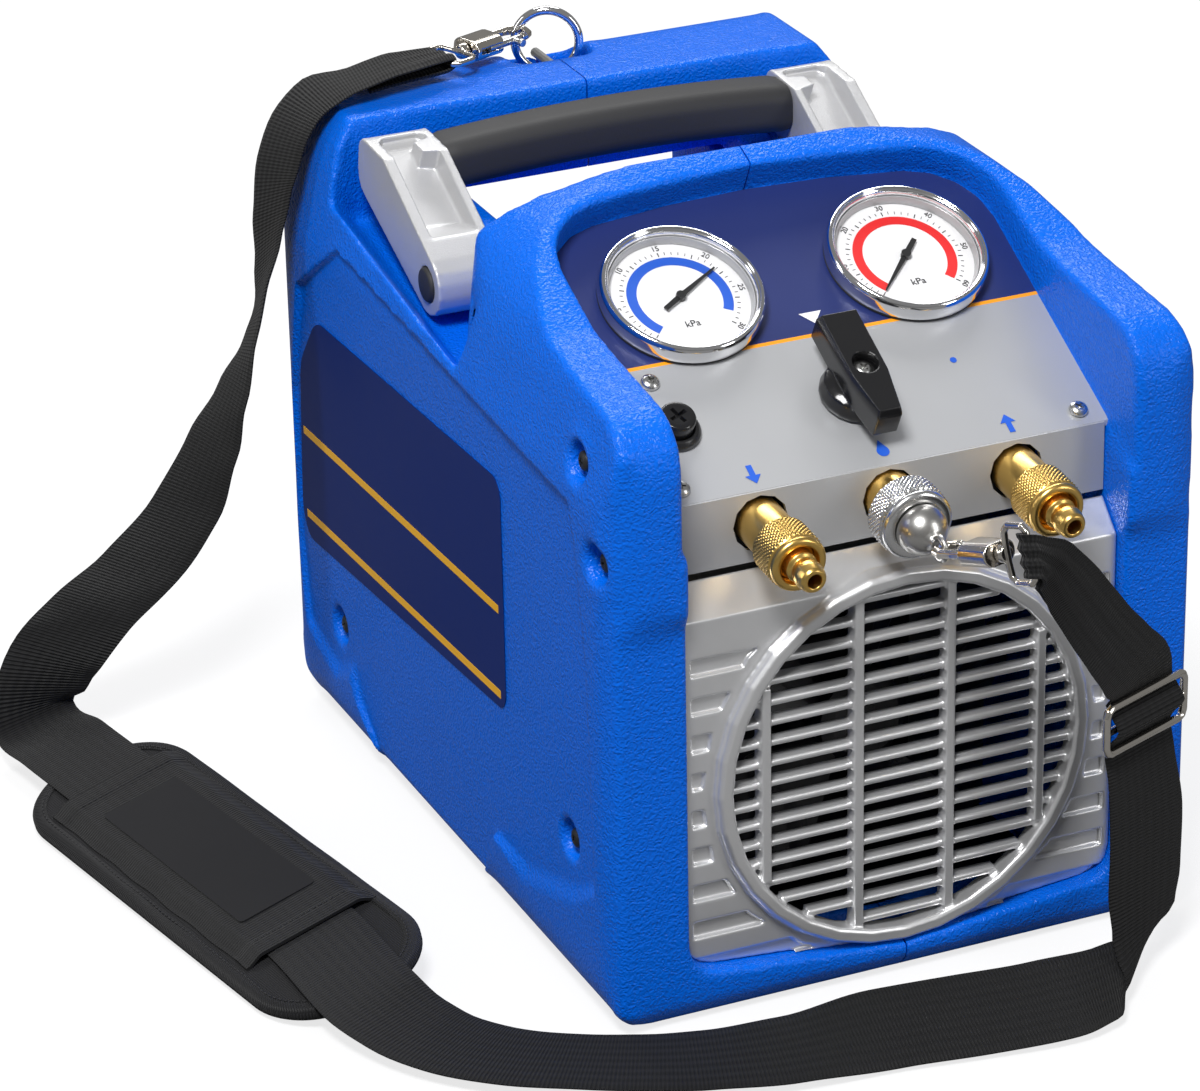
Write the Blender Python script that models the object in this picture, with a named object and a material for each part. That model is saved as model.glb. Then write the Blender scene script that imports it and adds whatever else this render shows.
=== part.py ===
"""Portable refrigerant recovery machine with its shoulder strap.

A two-piece moulded clamshell carries a bent steel control panel, a louvred fan guard,
a handle on two cast arms and, inside, the fan, condenser, compressor and motor.
The front faces -Y, up is +Z, and the origin is under the middle of the machine.
All lengths are in metres.
"""

import math

import bmesh
import bpy
from mathutils import Matrix, Vector

# Clearances and walls
GAP = 0.0003
WALL = 0.004
SHEET = 0.002

# Housing, seen from the front
HALF_WIDTH = 0.119
CREASE_HEIGHT = 0.207
TOP_HEIGHT = 0.2845
CEILING = TOP_HEIGHT + 0.0455
CROWN_RADIUS = 0.330
CROWN_HALF = HALF_WIDTH - 0.039
SHOULDER_RADIUS = 0.044
FOOT_RADIUS = 0.016

# Housing, seen from the side
FRONT_FACE = -0.173
BUMPER_FACE = -0.1765
BUMPER_FOOT = 0.160
BACK_FACE = 0.165
BACK_CHAMFER = 0.048
REAR_CROWN = 0.262
CORNER_RADIUS = 0.012

# The front fittings reach further out than the back, so all is moved back by this
# much to bring the middle of the machine over the origin
TO_MIDDLE = 0.0183

# Housing screws, placed as (y, z) in both sides
SCREW_POCKETS = ((-0.1435, 0.2190), (-0.1610, 0.1870), (0.1050, 0.0475), (-0.1290, 0.0620))
POCKET_DEPTH = 0.009
BOSS_RADIUS = 0.012

# Sunk field in each side, as (y, z)
FIELD_DEPTH = 0.0019
SIDE_FIELD = (
    (0.0886, 0.2168), (-0.1392, 0.2018), (-0.1445, 0.1837), (-0.1517, 0.1438), (-0.1542, 0.0830),
    (-0.1546, 0.0532), (-0.1371, 0.0431), (-0.1136, 0.0355), (-0.0895, 0.0289), (-0.0594, 0.0312),
    (-0.0433, 0.0040), (-0.0383, -0.0200), (0.0597, -0.0200), (0.0660, 0.0079), (0.0828, 0.0228),
    (0.0899, 0.0344), (0.1057, 0.0268), (0.1265, 0.0319), (0.1379, 0.0364), (0.1457, 0.0700),
    (0.1446, 0.1371), (0.1312, 0.1875),
)

# Carrying valley between the front hood and the rear bridge
DECK_HEIGHT = 0.184
BASIN_HALF = HALF_WIDTH - 0.058
HOOD_BACK_FOOT = -0.022
HOOD_BACK_TOP = -0.030
FIN_TOP = 0.2315
BRIDGE_FRONT = 0.110
BRIDGE_UNDERSIDE = 0.224
POCKET_HALF = 0.0175
RING_Y = 0.150
RING_PIN_Z = REAR_CROWN - 0.005

# Control panel: it leans back from a bend above its flange
BEND_Y = -0.157
PORT_HEIGHT = 0.188
BEND_Z = PORT_HEIGHT + 0.0125
PANEL_SLOPE = math.radians(28.0)
PANEL_HALF = HALF_WIDTH - 0.029
PANEL_LENGTH = 0.1375
PANEL_CROWN = 0.450
PANEL_CORNER = 0.030
FLANGE_FOOT = PORT_HEIGHT - 0.0145

# Gauges and controls, placed as (x, distance up the slope)
GAUGE_SPREAD = 0.046
GAUGE_RISE = 0.0905
GAUGE_BEZEL = 0.0313
GAUGE_BODY = 0.0255
GAUGE_DEPTH = 0.024
KNOB_RISE = 0.033
FUSE_X = -0.072
FUSE_RISE = 0.033
PANEL_SCREWS = ((-0.072, 0.056), (-0.080, 0.0073), (0.080, 0.0073))

# Service ports on the flange
PORT_SPREAD = 0.0515
PORT_TILT = math.radians(6.0)
PORT_HOLE = 0.0105

# Fan guard
GUARD_FACE = -0.168
GUARD_HALF = PANEL_HALF - 0.0024
GUARD_FOOT = 0.0125
GUARD_DIP = 0.0065
GUARD_SHOULDER = PORT_HEIGHT - 0.028
FAN_HEIGHT = 0.0893
RING_OUTER = 0.0762
RING_INNER = 0.0700
GUARD_BAR_PITCH = 0.0374
GUARD_BARS = 4
RIB_PITCH = 0.0082
RIBS = 17

GRIP_HALF = HALF_WIDTH - 0.0445

# Recess of each handle arm, outwards from the grip: x, front foot, back foot, brow
ARM_RECESS = (
    (GRIP_HALF - 0.0003, (-0.002, 0.196), (0.110, 0.217), -0.047),
    (HALF_WIDTH - 0.017, (-0.004, 0.197), (0.108, 0.220), -0.0375),
    (HALF_WIDTH - 0.008, (-0.026, 0.207), (0.103, 0.229), -0.085),
    (HALF_WIDTH, (-0.036, 0.216), (0.098, 0.237), -0.110),
    (HALF_WIDTH + 0.021, (-0.056, 0.236), (0.090, 0.255), -0.165),
)

# Handle
HANDLE_PIVOT = (0.033, 0.220)
GRIP_CENTRE = (0.0865, 0.2475)
GRIP_DEPTH = 0.0235
GRIP_HEIGHT = 0.0200
GRIP_RISE = 0.0034
ARM_THICKNESS = 0.027
ARM_FOOT_RADIUS = 0.0125
ARM_INNER_WALL = 0.0033
ARM_OUTER_WALL = 0.0045
ARM_FLOOR = 0.0035
GRIP_SEAT = 0.0100

# Cooling fan
FAN_RADIUS = 0.066
FAN_BLADES = 5
FAN_Y = -0.128

# Inside
FLOOR_TOP = WALL + GAP
CHASSIS_TOP = 0.0075

# Back plate, power inlet and switch
PLATE_FRONT = BACK_FACE - 0.009
PLATE_BACK = BACK_FACE - 0.006
PLATE_CENTRE = (0, 0.104)
PLATE_SIZE = (0.150, 0.104)
INLET_X = 0.046
INLET_Z = 0.078
SWITCH_Z = 0.122
ROCKER_THROW = 16.0

# Strap ring and snap hooks
RING_RADIUS = 0.0130
RING_WIRE = 0.0019
RING_TURN = math.radians(-24.0)
RING_LIFT = 0.0087
HOOK_WIRE = 0.0020
HOOK_REACH = 0.0284
EYE_HALF = 0.0105
EYE_DEPTH = 0.0150
UPPER_HOOK_AXIS = (0.93, 0.36, 0.0)
LOWER_HOOK_AXIS = (-0.27, 0.92, -0.28)
CAP_EYE_REACH = 0.0395
CAP_EYE_RADIUS = 0.0042

# Strap
STRAP_WIDTH = 0.038
STRAP_THICKNESS = 0.0016
PAD_LENGTH = 0.224
PAD_WIDTH = 0.070
PAD_CENTRE = (-0.212, -0.009, 0.0142)
PAD_ALONG = Vector((0.180, -0.984, 0)).normalized()
PAD_TILT = math.radians(12.0)
SLIDER_CENTRE = (0.078, -0.209, 0.107)
SLIDER_TURN = 22.0

# Path of the webbing: x, y, z in mm, then turn and lean of its width in degrees,
# and its width in mm where the webbing is gathered
BACK_RUN = (
    (-84, 138, 264.2, -96, 0, 20), (-74, 138, 265.4, -92, 0, 19), (-62, 137.5, 266.4, -76, 0, 17),
    (-54, 138, 266.6, -69, 0, 16), (-49.9, 139.4, 267.4, -69, 0, 16), (-49.0, 139.8, 269.4, -69, 0, 16),
    (-49.9, 139.4, 271.4, -69, 0, 16), (-54, 138, 272.3, -69, 0, 17), (-61, 137.5, 272.2, -78, 2, 22),
    (-73, 138, 270.9, -100, 4, 32), (-88, 138, 267.4, -102, 6), (-104, 138, 264, -93, 1),
    (-115, 138, 254, -86, 7), (-121.5, 138, 239, -83, 13), (-125.5, 138, 220, -84, 26),
    (-128, 138, 201, -90, 33), (-132, 138, 182, -100, 34), (-137, 138, 166, -101, 22),
    (-146, 139, 142, -92, 9), (-155, 140, 121, -79, 3), (-168, 141, 95, -66, 1),
    (-188, 142, 73, -56, -4), (-208, 143, 58, -45, -8),
    (-223, 144, 43, -34, -14), (-232, 145, 28, -12, -8), (-236.5, 144, 14, 14, 6),
)
FLOOR_RUN = (
    (-188, -142, 9, 20, 12), (-177, -159, 6.5, 33, 10), (-160, -175, 5.5, 46, 8), (-140, -187, 5, 56, 7),
    (-119, -198, 5, 64, 8), (-98, -207, 5.5, 71, 9), (-68, -215, 6.5, 79, 13), (-32, -219, 8, 84, 19),
    (0, -225, 9, 88, 21), (30, -229, 9.5, 88, 20), (56, -226, 9, 72, 15), (74, -216, 10, 48, 8),
    (80, -209, 20, 24, 2), (81, -207, 36, 17, 0), (81, -207, 62, 17, 0),
)
HOOK_RUN = (
    (76.5, -208, 121, 22, 8, 35), (72.5, -211, 127, 18, 24, 33), (64, -216, 137, 15, 35, 29),
    (53, -220, 151, 8, 36, 26), (40, -225, 169, 4, 32, 24), (26, -233, 187, 10, 46, 20),
    (17.5, -241, 194, 60, 66, 17), (13.4, -243.4, 197.6, 106, 74, 16),
    (10.4, -243.0, 198.2, 106, 74, 16), (9.3, -241.2, 197.8, 106, 74, 16),
    (9.4, -239.2, 197.2, 106, 74, 16), (11.2, -238.2, 196.6, 106, 74, 16), (18, -235.6, 191.8, 60, 66, 17),
    (27, -229.2, 184.4, 10, 46, 19), (38, -221.6, 171.5, 4, 34, 20),
)

PANEL_ALONG = Vector((0, math.cos(PANEL_SLOPE), math.sin(PANEL_SLOPE)))
PANEL_NORMAL = Vector((0, -math.sin(PANEL_SLOPE), math.cos(PANEL_SLOPE)))
PANEL_ORIGIN = Vector((0, BEND_Y, BEND_Z))
RIGHT = Vector((1, 0, 0))
FORWARD = Vector((0, -1, 0))
UP = Vector((0, 0, 1))
PORT_AXIS = Vector((0, -math.cos(PORT_TILT), -math.sin(PORT_TILT)))

MATERIALS = {
    "blue_housing": ((0.010, 0.085, 0.560), 0.42, 0.0),
    "silver_paint": ((0.520, 0.530, 0.540), 0.38, 0.35),
    "cast_aluminium": ((0.780, 0.780, 0.780), 0.36, 0.45),
    "black_plastic": ((0.016, 0.016, 0.018), 0.42, 0.0),
    "black_rubber": ((0.022, 0.022, 0.024), 0.70, 0.0),
    "brass": ((0.800, 0.560, 0.210), 0.24, 1.0),
    "chrome": ((0.800, 0.800, 0.800), 0.12, 1.0),
    "steel": ((0.560, 0.560, 0.550), 0.30, 1.0),
    "dial_white": ((0.900, 0.900, 0.900), 0.45, 0.0),
    "clear_lens": ((0.950, 0.970, 0.980), 0.05, 0.0),
    "dark_metal": ((0.060, 0.062, 0.066), 0.50, 0.6),
    "copper_fins": ((0.420, 0.400, 0.380), 0.45, 0.8),
    "webbing": ((0.014, 0.014, 0.015), 0.85, 0.0),
}


def clear_scene():
    for obj in list(bpy.data.objects):
        bpy.data.objects.remove(obj, do_unlink=True)


def material(name):
    """The named finish, made the first time that it is asked for."""
    found = bpy.data.materials.get(name)
    if found:
        return found
    colour, roughness, metallic = MATERIALS[name]
    made = bpy.data.materials.new(name)
    made.use_nodes = True
    shader = made.node_tree.nodes["Principled BSDF"]
    shader.inputs["Base Color"].default_value = (*colour, 1)
    shader.inputs["Roughness"].default_value = roughness
    shader.inputs["Metallic"].default_value = metallic
    made.diffuse_color = (*colour, 1)
    return made


def arc(centre, radius, start, end, steps):
    """Points on an arc, with the angles in degrees."""
    points = []
    for step in range(steps + 1):
        angle = math.radians(start + (end - start) * step / steps)
        points.append((centre[0] + radius * math.cos(angle), centre[1] + radius * math.sin(angle)))
    return points


def rounded_rectangle(width, height, radius, steps=4, centre=(0, 0)):
    across, up = width / 2 - radius, height / 2 - radius
    points = []
    for sign_x, sign_y, start in ((1, 1, 0), (-1, 1, 90), (-1, -1, 180), (1, -1, 270)):
        corner = (centre[0] + sign_x * across, centre[1] + sign_y * up)
        points += arc(corner, radius, start, start + 90, steps)
    return points


def grown(outline, distance):
    """The outline with each side moved outwards by a distance. It runs anticlockwise."""
    count = len(outline)
    moved = []
    for index in range(count):
        before = Vector(outline[index - 1])
        here = Vector(outline[index])
        after = Vector(outline[(index + 1) % count])
        first, second = (here - before).normalized(), (after - here).normalized()
        normal_1, normal_2 = Vector((first.y, -first.x)), Vector((second.y, -second.x))
        mitre = (normal_1 + normal_2).normalized()
        moved.append(tuple(here + mitre * distance / max(mitre.dot(normal_1), 0.4)))
    return moved


def mesh_object(name, bm):
    bmesh.ops.recalc_face_normals(bm, faces=bm.faces)
    mesh = bpy.data.meshes.new(name)
    bm.to_mesh(mesh)
    bm.free()
    obj = bpy.data.objects.new(name, mesh)
    bpy.context.scene.collection.objects.link(obj)
    return obj


def finish(obj, finish_name, angle=35):
    """Gives a solid its material, and shades its round faces smooth."""
    obj.data.materials.clear()
    obj.data.materials.append(material(finish_name))
    if obj.type == "MESH":
        obj.data.shade_smooth()
        obj.data.set_sharp_from_angle(angle=math.radians(angle))
    return obj


def loft(name, sections):
    """A closed solid through sections, each a list of as many 3-D points."""
    bm = bmesh.new()
    rings = [[bm.verts.new(point) for point in section] for section in sections]
    for lower, upper in zip(rings, rings[1:]):
        for index in range(len(lower)):
            after = (index + 1) % len(lower)
            bm.faces.new((lower[index], lower[after], upper[after], upper[index]))
    bm.faces.new(rings[0])
    bm.faces.new(rings[-1])
    return mesh_object(name, bm)


def on_plane(point, axis, offset):
    """A 2-D point placed on the plane across X, Y or Z."""
    if axis == "X":
        return (offset, point[0], point[1])
    if axis == "Y":
        return (point[0], offset, point[1])
    return (point[0], point[1], offset)


def prism(name, outline, axis, low, high):
    """An outline pushed along X (points are y, z), Y (x, z) or Z (x, y)."""
    return loft(name, [[on_plane(p, axis, at) for p in outline] for at in (low, high)])


def block(name, low, high):
    outline = [(low[0], low[1]), (high[0], low[1]), (high[0], high[1]), (low[0], high[1])]
    return prism(name, outline, "Z", low[2], high[2])


def turned(name, profile, steps=32, closed=False):
    """A profile of (radius, height) points turned round local Z. Closed makes it a ring."""
    bm = bmesh.new()
    rings = []
    for radius, height in profile:
        if radius == 0:
            rings.append([bm.verts.new((0, 0, height))])
            continue
        ring = []
        for step in range(steps):
            angle = 2 * math.pi * step / steps
            ring.append(bm.verts.new((radius * math.cos(angle), radius * math.sin(angle), height)))
        rings.append(ring)
    pairs = list(zip(rings, rings[1:]))
    if closed:
        pairs.append((rings[-1], rings[0]))
    for lower, upper in pairs:
        for step in range(steps):
            after = (step + 1) % steps
            corners = [lower[step % len(lower)], lower[after % len(lower)]]
            corners += [upper[after % len(upper)], upper[step % len(upper)]]
            corners = [c for i, c in enumerate(corners) if c not in corners[:i]]
            if len(corners) > 2:
                bm.faces.new(corners)
    return mesh_object(name, bm)


def place(obj, at, toward=UP, spin=0.0):
    """Stands local Z along a direction, with local Y as near up as it can be."""
    turn = Vector(toward).to_track_quat("Z", "Y").to_matrix().to_4x4()
    obj.matrix_world = Matrix.Translation(at) @ turn @ Matrix.Rotation(spin, 4, "Z")
    return obj


def settle(obj):
    """Moves an object's placement into its mesh, so that its origin is the machine's."""
    obj.data.transform(obj.matrix_world)
    obj.matrix_world = Matrix.Identity(4)
    return obj


def combine(body, tool, operation):
    """Joins, cuts or intersects two solids and keeps the result in the first."""
    bpy.context.view_layer.update()
    modifier = body.modifiers.new(operation.title(), "BOOLEAN")
    modifier.operation = operation
    modifier.solver = "EXACT"
    modifier.object = tool
    graph = bpy.context.evaluated_depsgraph_get()
    mesh = bpy.data.meshes.new_from_object(body.evaluated_get(graph))
    body.modifiers.clear()
    body.data = mesh
    bpy.data.objects.remove(tool, do_unlink=True)
    return body


def cut(body, *tools):
    for tool in tools:
        combine(body, tool, "DIFFERENCE")
    return body


def fuse(body, *tools):
    for tool in tools:
        combine(body, tool, "UNION")
    return body


def overlap(body, tool):
    return combine(body, tool, "INTERSECT")


def copy_of(obj, name):
    twin = obj.copy()
    twin.data = obj.data.copy()
    twin.name = name
    bpy.context.scene.collection.objects.link(twin)
    return twin


def mirrored(obj, name):
    """The same piece on the other side of the machine."""
    twin = copy_of(obj, name)
    settle(twin)
    twin.data.transform(Matrix.Scale(-1, 4, RIGHT))
    twin.data.flip_normals()
    return twin


def wire(name, points, radius, cyclic=False, sides=1):
    """A bent rod along a few points, with filled ends, as a mesh."""
    curve = bpy.data.curves.new(name, "CURVE")
    curve.dimensions = "3D"
    curve.bevel_depth = radius
    curve.bevel_resolution = sides
    curve.use_fill_caps = True
    spline = curve.splines.new("POLY")
    spline.points.add(len(points) - 1)
    for knot, point in zip(spline.points, points):
        knot.co = (*point, 1)
    spline.use_cyclic_u = cyclic
    rod = bpy.data.objects.new("rod", curve)
    bpy.context.scene.collection.objects.link(rod)
    bpy.context.view_layer.update()
    mesh = bpy.data.meshes.new_from_object(rod.evaluated_get(bpy.context.evaluated_depsgraph_get()))
    bpy.data.objects.remove(rod, do_unlink=True)
    bm = bmesh.new()
    bm.from_mesh(mesh)
    bmesh.ops.remove_doubles(bm, verts=bm.verts, dist=0.00001)
    return mesh_object(name, bm)


def panel_point(x, rise, height=0.0):
    """A place on the control panel: across, up its slope and out from its face."""
    return PANEL_ORIGIN + RIGHT * x + PANEL_ALONG * rise + PANEL_NORMAL * height


# Housing

def arch_outline(inset=0.0):
    """The housing from the front: flat foot, straight sides, a crease, shoulders, crown."""
    lean = math.asin(CROWN_HALF / CROWN_RADIUS)
    crown_centre = TOP_HEIGHT - CROWN_RADIUS
    shoulder_x = CROWN_HALF - SHOULDER_RADIUS * math.sin(lean)
    shoulder_z = crown_centre + (CROWN_RADIUS - SHOULDER_RADIUS) * math.cos(lean)
    right = arc((HALF_WIDTH - FOOT_RADIUS, FOOT_RADIUS), FOOT_RADIUS, -90, 0, 3)
    right.append((HALF_WIDTH, CREASE_HEIGHT))
    right += arc((shoulder_x, shoulder_z), SHOULDER_RADIUS, 11, 90 - math.degrees(lean), 4)
    crown_start = 90 - math.degrees(lean)
    right += arc((0, crown_centre), CROWN_RADIUS, crown_start, 90, 3)[1:]
    left = [(-x, z) for x, z in reversed(right[:-1])]
    return grown(right + left, -inset)


def side_outline(inset=0.0):
    """The housing from the side, anticlockwise seen from +X: back, top and front."""
    rim_low, rim_high = (-0.103, TOP_HEIGHT - 0.0345), (-0.029, TOP_HEIGHT - 0.002)
    cheek = arc((-0.1565, TOP_HEIGHT - 0.062), 0.020, 180, 100, 3)
    points = [(FRONT_FACE + 0.006, 0.0), (BACK_FACE - BACK_CHAMFER - 0.006, 0.0)]
    points += arc((BACK_FACE - BACK_CHAMFER, BACK_CHAMFER), BACK_CHAMFER, -80, 0, 3)
    points += arc((BACK_FACE - 0.014, REAR_CROWN - 0.014), 0.014, 0, 90, 3)
    points += [(BRIDGE_FRONT - 0.020, REAR_CROWN), (0.040, TOP_HEIGHT + 0.001)]
    points += [(-0.018, TOP_HEIGHT + 0.001), rim_high, rim_low, (-0.125, TOP_HEIGHT - 0.038)]
    points += list(reversed(cheek))
    points += [(BUMPER_FACE, BUMPER_FOOT + 0.008), (FRONT_FACE, BUMPER_FOOT)]
    points += [(FRONT_FACE, 0.007)]
    return grown(points, -inset)


def plan_outline(inset=0.0):
    front, back = BUMPER_FACE, BACK_FACE
    tail = 2 * CORNER_RADIUS
    points = arc((HALF_WIDTH - CORNER_RADIUS, front + CORNER_RADIUS), CORNER_RADIUS, -90, 0, 2)
    points += arc((HALF_WIDTH - tail, back - tail), tail, 0, 90, 3)
    points += arc((tail - HALF_WIDTH, back - tail), tail, 90, 180, 3)
    points += arc((CORNER_RADIUS - HALF_WIDTH, front + CORNER_RADIUS), CORNER_RADIUS, 180, 270, 2)
    return grown(points, -inset)


def panel_outline(grow=0.0):
    """The opening under the hood, as (x, rise): straight sides and an arched top."""
    corner_x = PANEL_HALF - PANEL_CORNER
    crown_centre = PANEL_LENGTH - PANEL_CROWN
    lean = math.asin(corner_x / (PANEL_CROWN - PANEL_CORNER))
    corner_rise = crown_centre + (PANEL_CROWN - PANEL_CORNER) * math.cos(lean)
    crown_start = 90 - math.degrees(lean)
    right = [(PANEL_HALF, -0.030)]
    right += arc((corner_x, corner_rise), PANEL_CORNER, 0, crown_start, 4)
    right += arc((0, crown_centre), PANEL_CROWN, crown_start, 90, 2)[1:]
    left = [(-x, rise) for x, rise in reversed(right[:-1])]
    return grown(right + left, grow)


def panel_prism(name, outline, low, high):
    """A panel outline pushed out along the panel's normal."""
    return loft(name, [[panel_point(x, rise, at) for x, rise in outline] for at in (low, high)])


def mouth_outline(inset=0.0):
    """The opening between the front columns: its foot dips to a point at the seam."""
    half, corner = PANEL_HALF - 0.002, 0.012
    top = FLANGE_FOOT + 0.045
    side_foot = GUARD_FOOT + GUARD_DIP
    right = [(0, GUARD_FOOT)]
    right += arc((half - corner, side_foot + corner), corner, -86, 0, 3)
    right += [(half, top)]
    left = [(-x, z) for x, z in reversed(right[1:])]
    return grown(right + left, -inset)


def front_openings(grow=0.0):
    """What is cut out under the hood and between the front columns."""
    window = panel_prism("window", panel_outline(grow), -SHEET - GAP - grow, 0.080)
    mouth = prism("mouth", mouth_outline(-grow), "Y", -0.230, BEND_Y + 0.006 + grow)
    return window, mouth


def through_openings():
    """The ways from those openings into the housing. A ledge is left round each."""
    window = panel_prism("window", panel_outline(-0.007), -0.030, 0.010)
    mouth = prism("mouth", mouth_outline(0.005), "Y", -0.200, BEND_Y + 0.025)
    outline = rounded_rectangle(PLATE_SIZE[0] - 0.010, PLATE_SIZE[1] - 0.010, 0.008, 2, PLATE_CENTRE)
    back = prism("back", outline, "Y", BACK_FACE - 0.030, BACK_FACE)
    return window, mouth, back


def back_opening(grow=0.0):
    width, height = PLATE_SIZE
    outline = rounded_rectangle(width + 2 * grow, height + 2 * grow, 0.010 + grow, 2, PLATE_CENTRE)
    return prism("back_opening", outline, "Y", PLATE_FRONT - GAP - grow, BACK_FACE + 0.030)


def valley(grow=0.0):
    """The hollows on top: hand basin, grip trench, arm recesses, bridge window."""
    lean = (HOOD_BACK_TOP - HOOD_BACK_FOOT) / (TOP_HEIGHT - DECK_HEIGHT)

    def hood_back(z):
        return HOOD_BACK_FOOT + lean * (z - DECK_HEIGHT) - grow

    basin_side = [(hood_back(DECK_HEIGHT), DECK_HEIGHT - grow), (0.260, DECK_HEIGHT - grow)]
    basin_side += [(0.260, BRIDGE_UNDERSIDE + grow), (BRIDGE_FRONT + grow, BRIDGE_UNDERSIDE + grow)]
    basin_side += [(BRIDGE_FRONT + grow, CEILING), (hood_back(CEILING), CEILING)]
    basin = prism("basin", basin_side, "X", -BASIN_HALF - grow, BASIN_HALF + grow)
    trench_side = [(hood_back(FIN_TOP) - 0.0005, FIN_TOP - grow), (BRIDGE_FRONT + grow, FIN_TOP - grow)]
    trench_side += [(BRIDGE_FRONT + grow, CEILING), (hood_back(CEILING) - 0.0005, CEILING)]
    trench = prism("trench", trench_side, "X", -GRIP_HALF - 0.002 - grow, GRIP_HALF + 0.002 + grow)
    tools = [basin, trench]
    for side in (-1, 1):
        sections = []
        for x, foot, heel, brow in ARM_RECESS:
            outline = [foot, heel, (heel[0], CEILING), (brow, CEILING)]
            sections.append([(side * x, y, z) for y, z in grown(outline, grow)])
        sections[0] = [(x - side * grow, y, z) for x, y, z in sections[0]]
        tools.append(loft("arm_recess", sections))
    return tools


def housing_solid(inset=0.0):
    """The outside of the housing: three outlines pushed through each other."""
    form = prism("form", arch_outline(inset), "Y", -0.230, 0.230)
    overlap(form, prism("side", side_outline(inset), "X", -0.200, 0.200))
    return overlap(form, prism("plan", plan_outline(inset), "Z", -0.050, 0.350))


def screw_pockets(shell):
    """Round pockets for the housing screws, each in a boss inside the side wall."""
    for side in (-1, 1):
        for y, z in SCREW_POCKETS:
            face = (side * (HALF_WIDTH - POCKET_DEPTH), y, z)
            boss_top = POCKET_DEPTH - FIELD_DEPTH - 0.001
            boss_profile = [(0, -0.004), (BOSS_RADIUS, -0.004), (BOSS_RADIUS, boss_top), (0, boss_top)]
            fuse(shell, settle(place(turned("boss", boss_profile, 8), face, (side, 0, 0))))
            tool = turned("pocket", [(0, 0), (0.0075, 0), (0.0085, 0.030), (0, 0.030)], 10)
            cut(shell, settle(place(tool, face, (side, 0, 0))))


def side_fields():
    """The sunk area in each side wall."""
    low, high = HALF_WIDTH - FIELD_DEPTH, HALF_WIDTH + 0.020
    return [prism("field", SIDE_FIELD, "X", *sorted((side * low, side * high))) for side in (-1, 1)]


def bridge_channel():
    """The hollow under the rear bridge, and the pocket that the strap ring stands in."""
    channel = block("channel", (-0.074, BRIDGE_FRONT + WALL, BRIDGE_UNDERSIDE - 0.006),
                    (0.074, BACK_FACE - WALL, REAR_CROWN - 0.021))
    outline = rounded_rectangle(2 * POCKET_HALF, 0.020, 0.006, 3, (0, RING_Y))
    pocket = prism("ring_pocket", outline, "Z", REAR_CROWN - 0.0145, REAR_CROWN + 0.020)
    slot_profile = [(0, -0.0130), (0.0023, -0.0130), (0.0023, 0.0130), (0, 0.0130)]
    pin_slot = turned("pin_slot", slot_profile, 10)
    settle(place(pin_slot, (0, RING_Y, RING_PIN_Z), FORWARD))
    return [channel, pocket, pin_slot]


def housing_halves():
    """Two moulded halves that meet on a seam along the middle."""
    shell = housing_solid()
    cut(shell, *front_openings(), back_opening(), *valley())
    cavity = housing_solid(WALL)
    cut(cavity, *front_openings(WALL), back_opening(WALL), *valley(WALL))
    ceiling = block("ceiling", (-0.200, -0.030, DECK_HEIGHT - WALL), (0.200, 0.300, CEILING))
    cut(cavity, ceiling)
    cut(shell, cavity)
    cut(shell, *through_openings(), *bridge_channel(), *side_fields())
    screw_pockets(shell)
    for side in (-1, 1):
        bolt = turned("bolt_hole", [(0, 0), (0.0042, 0), (0.0042, 0.016), (0, 0.016)], 10)
        at = (side * (BASIN_HALF - 0.002), *HANDLE_PIVOT)
        cut(shell, settle(place(bolt, at, (side, 0, 0))))
    for name, low, high in (("shell_left", -GAP / 2, 0.200), ("shell_right", -0.200, GAP / 2)):
        half = copy_of(shell, name)
        cut(half, block("other_half", (low, -0.300, -0.100), (high, 0.300, 0.400)))
        finish(half, "blue_housing")
    bpy.data.objects.remove(shell, do_unlink=True)


# Control panel

def drill(at, toward, radius, depth=0.020, steps=24):
    """A round cutter that passes through a sheet at a point. Its flats are at the radius."""
    reach = radius / math.cos(math.pi / steps)
    tool = turned("drill", [(0, -depth), (reach, -depth), (reach, depth), (0, depth)], steps)
    return settle(place(tool, at, toward))


def control_panel():
    """One bent sheet: a sloping face with an arched top, and a flange for the ports."""
    face = panel_prism("control_panel", panel_outline(-GAP), -SHEET, 0)
    trim = block("trim", (-0.200, -0.400, 0.100), (0.200, BEND_Y + 0.0006, 0.300))
    cut(face, trim)
    half = PANEL_HALF - 0.002 - GAP
    flange = block("flange", (-half, BEND_Y, FLANGE_FOOT), (half, BEND_Y + SHEET, BEND_Z))
    fuse(face, flange)
    for side in (-1, 1):
        gauge_at = panel_point(side * GAUGE_SPREAD, GAUGE_RISE)
        cut(face, drill(gauge_at, PANEL_NORMAL, GAUGE_BODY + GAP, steps=20))
        cut(face, drill((side * PORT_SPREAD, BEND_Y, PORT_HEIGHT), FORWARD, PORT_HOLE, steps=12))
    cut(face, drill((0, BEND_Y, PORT_HEIGHT), FORWARD, PORT_HOLE, steps=12))
    cut(face, drill(panel_point(0, KNOB_RISE), PANEL_NORMAL, 0.0052, steps=12))
    cut(face, drill(panel_point(FUSE_X, FUSE_RISE), PANEL_NORMAL, 0.0063, steps=12))
    for x, rise in PANEL_SCREWS:
        cut(face, drill(panel_point(x, rise), PANEL_NORMAL, 0.0021, steps=8))
    finish(face, "silver_paint")


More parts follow.
